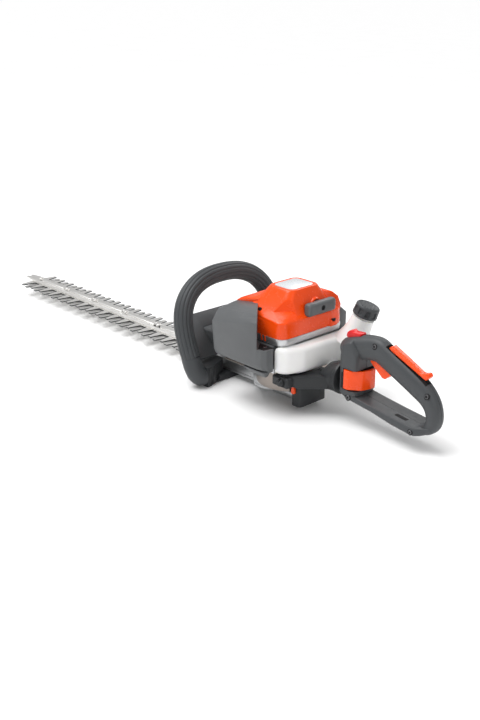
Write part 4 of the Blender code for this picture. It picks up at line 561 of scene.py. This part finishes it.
# ------------------------------------------------------------------------------------- grips
def make_starter_grip():
    """A T grip lying along Y with soft waisted ends."""
    x, y, z = 42.5, ROPE_Y, ROPE_Z
    rings = []
    for share, width, height in ((-1.0, 3.2, 6.4), (-0.985, 5.2, 8.6), (-0.93, 6.4, 9.8), (-0.8, 6.9, 10.3),
                                 (-0.4, 6.7, 10.0), (0.0, 6.9, 10.4), (0.4, 6.7, 10.0), (0.8, 6.9, 10.3),
                                 (0.93, 6.4, 9.8), (0.985, 5.2, 8.6), (1.0, 3.2, 6.4)):
        rings.append([(x + u, y + share * 29.0, z + v)
                      for u, v in rounded_rect((-width, width), (-height, height), min(width, height) * 0.75, 5)])
    grip = loft("starter_grip_finished", rings, "cover_gray", "starter_grip", ("starter_grip",), 45.0)
    cut(grip, rod_tool((x + 3.0, y, z), (x + 20.0, y, z), 4.2, 24))
    smooth(grip, 45.0)
    # Painted shade: a near-black plug deep in the hole in the grip's outer face stands for the shade inside it.
    loft("starter_grip_hole_shade", rod_rings((x + 2.0, y, z), (x + 5.4, y, z), [(0.0, 4.1), (0.9, 4.0), (1.0, 3.4)], 20),
         "painted_shade", "starter_grip")
    loft("starter_grip_neck", rod_rings((x - 10.0, y, z), (x - 5.0, y, z), [(0.0, 4.4), (0.6, 5.4), (1.0, 6.2)], 24),
         "black", "starter_grip")


def make_starter_rope():
    """The rope from the pulley to the grip, a straight round tube between the boss and the grip."""
    rings = rod_rings((14.0, ROPE_Y, ROPE_Z), (36.6, ROPE_Y, ROPE_Z),
                      [(i / ROPE_RINGS, ROPE_RADIUS) for i in range(ROPE_RINGS + 1)], 12)
    rope = loft("starter_rope_finished", rings, "black", None, ("starter_rope",), 45.0)
    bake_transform(rope)


FRONT_HALF_WIDTH = 96.5
FRONT_TOP_Z = 166.5
ARCH_Z = 88.0           # where the straight sides turn into the arch
FRONT_FOOT = (-126.0, 78.0, 17.0)
FRONT_LEAN = 15.3
FRONT_RADIUS = 15.5
GRIP_START_Z = 50.0


def front_path():
    """The middle of the front handle's tube above its legs, from left to right."""
    half = []
    for i in range(25):
        angle = math.radians(90.0 * i / 24)
        power = 2.0 / 2.35
        half.append((FRONT_HALF_WIDTH * math.sin(angle) ** power,
                     ARCH_Z + (FRONT_TOP_Z - ARCH_Z) * math.cos(angle) ** power))
    half += [(FRONT_HALF_WIDTH - 0.4, 77.0), (FRONT_HALF_WIDTH - 1.0, 66.0), (FRONT_HALF_WIDTH - 2.2, 57.0),
             (FRONT_HALF_WIDTH - 3.0, GRIP_START_Z + 0.6)]
    slope = math.tan(math.radians(FRONT_LEAN))

    def lean(z):
        return FRONT_FOOT[0] - (z - FRONT_FOOT[2]) * slope
    left = [Vector((lean(z), -y, z)) for y, z in reversed(half)]
    return left + [Vector((p.x, -p.y, p.z)) for p in reversed(left[:-1])]


def make_front_grip():
    """Rubber over the tube, with ridges that run along it and a smooth collar at each end."""
    path = front_path()
    slope = math.radians(FRONT_LEAN)
    across = Vector((math.cos(slope), 0.0, math.sin(slope)))
    count = 112
    ridges = 14
    rings = []
    last = len(path) - 1
    for i, point in enumerate(path):
        ahead = (path[min(i + 1, last)] - path[max(i - 1, 0)]).normalized()
        out = ahead.cross(across).normalized()
        depth = 0.0 if i in (0, last) else 1.15
        ring = []
        for k in range(count):
            a = 2.0 * math.pi * k / count
            wave = 0.5 - 0.5 * math.cos(ridges * a)
            radius = FRONT_RADIUS - depth * (1.0 - wave) ** 4
            ring.append(tuple(point + (out * math.cos(a) + across * math.sin(a)) * radius))
        rings.append(ring)
    loft("front_grip_ridged", rings, "rubber", "machine", ("front_grip",), 60.0)


def make_front_legs():
    """The smooth lower legs, which bend inwards to the bracket."""
    slope = math.radians(FRONT_LEAN)
    across = Vector((math.cos(slope), 0.0, math.sin(slope)))
    bend = 32.0
    for side, name in ((-1.0, "left"), (1.0, "right")):
        line = [(FRONT_HALF_WIDTH - 3.0, GRIP_START_Z - 0.2)]
        for i in range(13):
            a = math.radians(90.0 * i / 12)
            line.append((FRONT_HALF_WIDTH - 3.0 - bend * (1.0 - math.cos(a)) * 0.42,
                         FRONT_FOOT[2] + bend - 1.0 - (bend - 1.0) * math.sin(a)))
        line.append((FRONT_FOOT[1], FRONT_FOOT[2]))
        path = [Vector((FRONT_FOOT[0] - (z - FRONT_FOOT[2]) * math.tan(slope), side * y, z)) for y, z in line]
        rings = []
        for i, point in enumerate(path):
            ahead = (path[min(i + 1, len(path) - 1)] - path[max(i - 1, 0)]).normalized()
            out = ahead.cross(across).normalized()
            radius = FRONT_RADIUS - (0.5 if i == 0 else 0.0)
            rings.append([tuple(point + (out * math.cos(b) + across * math.sin(b)) * radius)
                          for b in (2.0 * math.pi * k / 40 for k in range(40))])
        replaced = ("front_handle",) if side < 0.0 else ()
        loft("front_leg_" + name, rings, "rubber", "machine", replaced, 50.0)


# -------------------------------------------------------------------------------------- tank
def tank_plan():
    corners = [(29.0, -74.0), (50.0, -68.0), (63.0, -38.0), (65.0, 0.0), (66.0, 30.0), (90.0, 36.0), (101.0, 58.0),
               (90.0, 82.0), (62.0, 90.0), (38.0, 88.0), (38.0, -36.0), (30.0, -40.0)]
    return rounded(corners, [8.0, 22.0, 22.0, 60.0, 16.0, 20.0, 26.0, 20.0, 14.0, 6.0, 1.0, 1.0], 6)


def shrink(outline, distance):
    count = len(outline)
    result = []
    for i in range(count):
        a, b, c = (Vector(outline[(i + k) % count]) for k in (-1, 0, 1))
        tangent = (c - a).normalized()
        result.append(tuple(b + Vector((-tangent.y, tangent.x)) * distance))
    return result


def tank_rings():
    """The tank's levels, with a rounded edge at the bottom and at the top."""
    low, high = 66.0, 107.4
    rings = []
    steps = 6
    radius = 9.0
    for k in range(steps + 1):
        a = math.radians(90.0 * k / steps)
        rings.append([(x, y, low + radius * (1.0 - math.sin(a))) for x, y in
                      shrink(tank_plan(), radius * (1.0 - math.cos(a)) * 0.8)])
    rings.reverse()
    for k in range(steps + 1):
        a = math.radians(90.0 * k / steps)
        rings.append([(x, y, high - radius * (1.0 - math.sin(a))) for x, y in
                      shrink(tank_plan(), radius * (1.0 - math.cos(a)) * 0.8)])
    return rings


# ---------------------------------------------------------------------------- rear handle
GRIP_LINE = [(118.0, 112.0, 17.0, 21.0), (138.0, 119.5, 18.0, 19.0), (158.0, 124.2, 18.0, 15.5),
             (172.0, 125.0, 18.2, 13.6), (183.0, 120.8, 17.2, 13.2), (200.0, 112.8, 16.8, 13.0),
             (218.0, 104.3, 16.7, 13.0), (236.0, 95.6, 16.5, 13.0), (250.0, 88.0, 16.0, 12.8),
             (261.0, 80.0, 14.2, 12.4), (269.0, 70.5, 12.6, 12.2), (273.2, 60.0, 11.6, 12.0),
             (274.2, 50.0, 11.0, 12.0), (271.6, 41.5, 10.4, 12.0), (265.0, 34.5, 8.6, 12.0), (254.0, 31.5, 6.8, 12.0)]
RAIL = [(124.0, 45.0, 56.0, 23.0), (131.0, 41.6, 53.0, 22.5), (150.0, 38.4, 49.6, 22.0), (176.0, 35.4, 46.0, 22.0),
        (212.0, 28.3, 41.8, 22.0), (246.0, 24.3, 38.4, 22.0), (256.0, 24.6, 37.4, 20.5), (266.0, 27.6, 38.5, 15.0),
        (276.0, 33.5, 42.0, 12.0)]


def spline(rows, pieces=4):
    """Extra rows between the given ones on a smooth curve through them."""
    rows = [tuple(row) for row in rows]
    result = []
    for i in range(len(rows) - 1):
        p = [rows[max(i - 1, 0)], rows[i], rows[i + 1], rows[min(i + 2, len(rows) - 1)]]
        for k in range(pieces):
            t = k / pieces
            result.append(tuple(0.5 * (2 * b + (c - a) * t + (2 * a - 5 * b + 4 * c - d) * t * t
                                       + (3 * b - a - 3 * c + d) * t ** 3) for a, b, c, d in zip(*p)))
    return result + [rows[-1]]


def super_ellipse(a, power=2.6):
    c, s = math.cos(a), math.sin(a)
    return (math.copysign(abs(c) ** (2.0 / power), c), math.copysign(abs(s) ** (2.0 / power), s))


def grip_rings(count=40):
    rows = spline(GRIP_LINE)
    rings = []
    for i, (x, z, thick, wide) in enumerate(rows):
        ahead = Vector((rows[min(i + 1, len(rows) - 1)][0] - rows[max(i - 1, 0)][0],
                        rows[min(i + 1, len(rows) - 1)][1] - rows[max(i - 1, 0)][1])).normalized()
        up = Vector((-ahead.y, ahead.x))
        ring = []
        for k in range(count):
            u, v = super_ellipse(2.0 * math.pi * (k + 0.5) / count, 2.5)
            ring.append((x + up.x * thick * v, u * wide, z + up.y * thick * v))
        rings.append(ring)
    return rings


def rail_rings():
    rings = []
    for x, low, high, wide in spline(RAIL, 2):
        chamfer = min(4.0, (high - low) * 0.35)
        ring = [(x, wide - chamfer, low), (x, wide, low + chamfer), (x, wide, high - 1.5), (x, wide - 1.5, high)]
        rings.append(ring + [(x, -y, z) for _, y, z in reversed(ring)])
    return rings


COLUMN = [(110.5, 13.0, 46.0), (110.5, 13.0, 121.0), (112.5, 9.0, 129.0), (121.5, 24.0, 50.0), (121.5, 24.0, 124.0),
          (137.5, 23.0, 131.5), (133.0, 8.0, 136.4), (148.0, 24.0, 110.0), (148.0, 24.0, 56.0), (149.5, 18.0, 118.0),
          (149.5, 18.0, 50.0), (142.0, 20.0, 46.0)]


def split_sides(solid, names, body, replaces):
    """Cuts a solid at the seam into a left and a right shell with a fine groove between them."""
    for side, name, node in ((-1.0, names[0], replaces[0]), (1.0, names[1], replaces[1])):
        half = solid.copy()
        half.data = solid.data.copy()
        half.name = name
        bpy.context.collection.objects.link(half)
        bm = bmesh.new()
        bm.from_mesh(half.data)
        cut_at = bmesh.ops.bisect_plane(bm, geom=bm.verts[:] + bm.edges[:] + bm.faces[:], dist=1e-6,
                                        plane_co=(0.0, side * 0.0003, 0.0), plane_no=(0.0, -side, 0.0),
                                        clear_outer=True)
        edges = [e for e in cut_at["geom_cut"] if isinstance(e, bmesh.types.BMEdge)]
        bmesh.ops.holes_fill(bm, edges=edges)
        bmesh.ops.recalc_face_normals(bm, faces=bm.faces)
        bm.to_mesh(half.data)
        bm.free()
        finish(half, "dark_gray", body, (node,), 38.0)
    bpy.data.objects.remove(solid, do_unlink=True)


def join_solids(base, *others):
    for other in others:
        step = base.modifiers.new("join", 'BOOLEAN')
        step.operation = 'UNION'
        step.solver = 'EXACT'
        step.object = other
        bake(base)
        bpy.data.objects.remove(other, do_unlink=True)
    return base


def make_rear_handle():
    grip = loft("grip_solid", grip_rings(), "dark_gray", None)
    column = hull("column_solid", COLUMN + [(x, -y, z) for x, y, z in COLUMN], "dark_gray", None)
    soften(column, 2.2, 3, 14.0)
    rail = loft("rail_solid", rail_rings(), "dark_gray", None)
    soften(rail, 1.2, 2, 30.0)
    solid = join_solids(grip, column, rail)
    cut(solid, box_tool((126.0, 152.0), (-30.0, 16.5), (57.5, 90.5)))
    cut(solid, box_tool((113.3, 142.7), (-7.2, 7.2), (128.0, 152.0)))
    cut(solid, box_tool((158.0, 212.0), (-7.2, 7.2), (88.0, 122.0)))
    slope = math.atan2(104.0 - 136.5, 258.0 - 190.0)
    run = Vector((math.cos(slope), 0.0, math.sin(slope)))
    rise = Vector((-math.sin(slope), 0.0, math.cos(slope)))
    origin = Vector((194.0, 0.0, 138.0))
    slot = [[tuple(origin + run * u + rise * v + Vector((0.0, y, 0.0))) for u, v in
             ((-4.5, -13.0), (77.0, -13.0), (77.0, 16.0), (-4.5, 16.0))] for y in (-7.3, 7.3)]
    cut(solid, loft_tool(slot))
    split_sides(solid, ("rear_handle_left", "rear_handle_right"), "rear_handle",
                ("handle_shell_left", "handle_shell_right"))
    screws = ((172.4, 133.0, -12.9, 0.2), (266.0, 86.0, -11.6, 0.25), (250.0, 30.5, -22.0, 0.0))
    for i, (x, z, y, up) in enumerate(screws):
        screw("handle_screw_%d" % (i + 1), (x, y, z), (0.0, -1.0, up), 3.3, "rear_handle")
    screw("handle_screw_4", (136.0, -22.8, 46.5), (0.0, -1.0, 0.1), 3.8, "rear_handle")
    # Painted shade: a thin near-black plate in the rail's top stands for the shaded drain slot.
    slot_line = rounded([(213.0, -12.0), (234.0, -12.0), (235.5, -5.0), (214.5, -5.0)], [2.0] * 4)
    loft("rail_drain_slot_shade", [[(x, y, 41.75 - (x - 212.0) * 0.1 + lift) for x, y in slot_line] for lift in (-1.5, 0.15)],
         "painted_shade", "rear_handle")
    # Painted shade: a near-black block stands for the shaded opening beside the release lever.
    soften(hull("release_lever_opening_shade", [(x, y, z) for x in (122.6, 128.0) for y in (-24.35, -20.0)
                                          for z in (59.0, 84.0)], "painted_shade", "rear_handle"), 0.4, 1)


def make_hand_guard():
    """A plate that leans forward, with round upper corners and a notch cut in the middle of its lower part."""
    foot, top = Vector((-140.0, 0.0, 37.0)), Vector((-199.0, 0.0, 93.5))
    rise = (top - foot).normalized()
    length = (top - foot).length
    out = Vector((-rise.z, 0.0, rise.x))
    outline = rounded([(-80.0, 0.0), (80.0, 0.0), (76.0, length * 0.45), (47.0, length), (-47.0, length),
                       (-76.0, length * 0.45)], [4.0, 4.0, 30.0, 22.0, 22.0, 30.0], 7)
    rings = [[tuple(foot + rise * v + out * w + Vector((0.0, u, 0.0))) for u, v in outline] for w in (0.0, -3.5)]
    plate = loft("hand_guard_finished", rings, "guard_gray", "machine", ("hand_guard",), 40.0)
    cut(plate, box_tool((-184.0, -78.0), (-33.2, 33.2), (20.0, 76.2)))
    soften(plate, 1.3, 3, 30.0, 40.0)


def make_lockout():
    """A thin lever with a raised rear end."""
    x, z = 198.0, 133.0
    outline = rounded([(x - 5.5, z + 1.5), (x - 2.0, z + 5.4), (x + 26.0, z - 7.6), (x + 52.0, z - 20.6),
                       (x + 58.0, z - 18.6), (x + 62.0, z - 17.4), (x + 65.5, z - 22.0), (x + 60.5, z - 28.0),
                       (x - 2.0, z - 1.5)], [1.5, 3.0, 40.0, 8.0, 4.0, 3.0, 3.0, 3.0, 1.5], 4)
    lever = loft("throttle_lockout_finished", slab(outline, -5.8, 5.8, 'Y'), "orange", "throttle_lockout",
                 ("throttle_lockout",))
    soften(lever, 1.7, 3, 30.0, 40.0)


def make_inlet_housing():
    """The dark moulding under the tank, between the pan and the neck."""
    points = []
    for x, y0, y1, low, high in ((30.0, -66.0, -30.0, 50.0, 63.0), (62.0, -52.0, 10.0, 44.0, 63.0),
                                 (96.0, -22.0, 22.0, 46.0, 66.0)):
        points += [(x, y, z) for y in (y0, y1) for z in (low, high)]
    soften(hull("inlet_housing", points, "black"), 3.0, 3, 20.0)


# ------------------------------------------------------------------- tank, cap and the rest
def make_tank_and_cap():
    loft("fuel_tank_soft", tank_rings(), "tank_white", "machine", ("fuel_tank",), 60.0)
    tilt, heading = math.radians(20.0), math.radians(35.0)
    axis = Vector((math.sin(tilt) * math.cos(heading), math.sin(tilt) * math.sin(heading), math.cos(tilt)))
    cap = Vector((89.5, 66.0, 149.0))
    foot = cap - axis * 56.0
    loft("fuel_tank_neck", rod_rings(foot, cap, [(0.0, 30.0), (0.14, 26.0), (0.3, 22.0), (0.5, 19.0), (0.7, 18.0),
                                                  (0.78, 17.6), (0.8, 15.0), (1.0, 15.0)], 48), "tank_white")
    count = 80
    turn = axis.to_track_quat('Z', 'Y').to_matrix()
    rings = []
    for z, radius, dent in ((-9.0, 18.4, 0.0), (-8.2, 19.3, 0.0), (-5.6, 19.5, 0.0), (-4.6, 19.3, 2.2),
                            (3.4, 19.0, 2.2), (4.8, 18.9, 0.0), (7.4, 18.5, 0.0), (8.6, 17.4, 0.0),
                            (9.0, 16.0, 0.0), (8.2, 14.8, 0.0), (8.1, 0.6, 0.0)):
        ring = []
        for k in range(count):
            a = 2.0 * math.pi * k / count
            notch = dent if (k % 8) in (1, 2, 3, 4) else 0.0
            ring.append(tuple(cap + turn @ Vector(((radius - notch) * math.cos(a), (radius - notch) * math.sin(a), z))))
        rings.append(ring)
    loft("fuel_cap_slotted", rings, "dark_gray", "fuel_cap", ("fuel_cap",), 40.0)
    for i in range(5):
        y = -9.0 + 4.5 * i
        reach = math.sqrt(14.0 ** 2 - y * y)
        bar = [tuple(cap + turn @ Vector((u, y + v, w)))
               for u in (-reach, reach) for v in (-0.9, 0.9) for w in (7.8, 8.9)]
        soften(hull("fuel_cap_rib_%d" % (i + 1), bar, "dark_gray", "fuel_cap"), 0.3, 1)


def make_plain_nodes():
    """CAD shapes that need only rounded edges and their finish."""
    rounded_nodes = {
        "front_housing": ("guard_gray", 2.2), "handle_bracket": ("black", 0.8),
        "right_engine_cover": ("cover_gray", 1.6), "clutch_cover": ("taupe", 1.0),
        "filter_cover": ("black", 1.4), "gearcase_upper": ("silver", 1.2), "gearcase_lower": ("silver", 1.2),
        "swivel_collar": ("black", 0.8), "throttle_trigger": ("orange", 1.0),
        "stop_switch": ("red", 0.9), "release_lever": ("orange", 0.8), "choke_lever": ("orange", 0.4),
        "rear_neck": ("black", 0.8), "crankcase": ("silver", 1.2),
        "cylinder": ("silver", 0.4), "muffler": ("steel", 1.0), "carburettor": ("black", 0.6),
        "intake_manifold": ("black", 0.6), "primer_bulb": ("black", 0.6)}
    for node, (key, width) in rounded_nodes.items():
        from_node(node, key, width)


def finish_other_nodes():
    """Inner nodes keep their CAD shape and take their slot's material."""
    slots = {part["node"]: part["material_slot"] for part in RECORD["subparts"]}
    for node, obj in NODES.items():
        key = slots[node]
        if not obj.hide_render:
            obj.data.materials.clear()
            obj.data.materials.append(M[key])


def make_stage():
    mat, shader = new_material("studio_floor", (0.93, 0.93, 0.93), 0.75)
    grain(mat, shader, 300.0, 0.05, 0.0002)
    vary_colour(mat, shader, (0.93, 0.93, 0.93), 0.01, 4.0)
    mesh = bpy.data.meshes.new("floor")
    reach = 30.0
    mesh.from_pydata([(-reach, -reach, 0.0), (reach, -reach, 0.0), (reach, reach, 0.0), (-reach, reach, 0.0)],
                     [], [(0, 1, 2, 3)])
    floor = bpy.data.objects.new("floor", mesh)
    floor.data.materials.append(mat)
    bpy.context.collection.objects.link(floor)
    world = bpy.data.worlds.new("studio")
    world.use_nodes = True
    world.node_tree.nodes["Background"].inputs["Color"].default_value = (1.0, 1.0, 1.0, 1.0)
    world.node_tree.nodes["Background"].inputs["Strength"].default_value = 0.5
    bpy.context.scene.world = world
    bpy.context.scene.view_settings.view_transform = 'Standard'


def area_light(name, spot, aim, size, power):
    data = bpy.data.lights.new(name, 'AREA')
    data.shape = 'RECTANGLE'
    data.size, data.size_y = size
    data.energy = power
    light = bpy.data.objects.new(name, data)
    bpy.context.collection.objects.link(light)
    light.location = spot
    light.rotation_euler = (Vector(aim) - Vector(spot)).to_track_quat('-Z', 'Y').to_euler()


def make_lights():
    aim = place(20.0, 0.0, 90.0)
    area_light("key", aim + Vector((-0.4, -0.7, 1.7)), aim, (1.1, 0.7), 9.0)
    area_light("fill", aim + Vector((1.9, -0.5, 0.9)), aim, (0.9, 1.2), 5.0)
    area_light("rim", aim + Vector((-0.6, 1.6, 1.3)), aim, (1.4, 0.5), 9.0)
    data = bpy.data.lights.new("sky_panel", 'SUN')
    data.energy = 2.1
    data.angle = math.radians(50.0)
    sun = bpy.data.objects.new("sky_panel", data)
    bpy.context.collection.objects.link(sun)
    sun.rotation_euler = Vector((-0.35, -0.25, 1.0)).to_track_quat('Z', 'Y').to_euler()


CAMERA_AZIMUTH = 47.48
CAMERA_ELEVATION = 21.43
CAMERA_DISTANCE = 1462.8
CAMERA_TARGET = (-17.3, -95.0, 80.0)


def make_camera():
    data = bpy.data.cameras.new("camera")
    data.sensor_fit = 'VERTICAL'
    data.sensor_height = 36.0
    data.lens = 48.6
    camera = bpy.data.objects.new("camera", data)
    bpy.context.collection.objects.link(camera)
    az, el = math.radians(CAMERA_AZIMUTH), math.radians(CAMERA_ELEVATION)
    back = Vector((math.sin(az) * math.cos(el), -math.cos(az) * math.cos(el), math.sin(el)))
    camera.location = place(*CAMERA_TARGET) + back * CAMERA_DISTANCE / 1000.0
    camera.rotation_euler = back.to_track_quat('Z', 'Y').to_euler()
    bpy.context.scene.camera = camera


make_blades()
make_plain_nodes()
make_left_cover()
make_starter_cover()
make_starter_grip()
make_starter_rope()
make_front_grip()
make_front_legs()
make_hand_guard()
make_lockout()
make_inlet_housing()
make_tank_and_cap()
make_rear_handle()
finish_other_nodes()
make_stage()
make_lights()
make_camera()
bpy.context.view_layer.update()
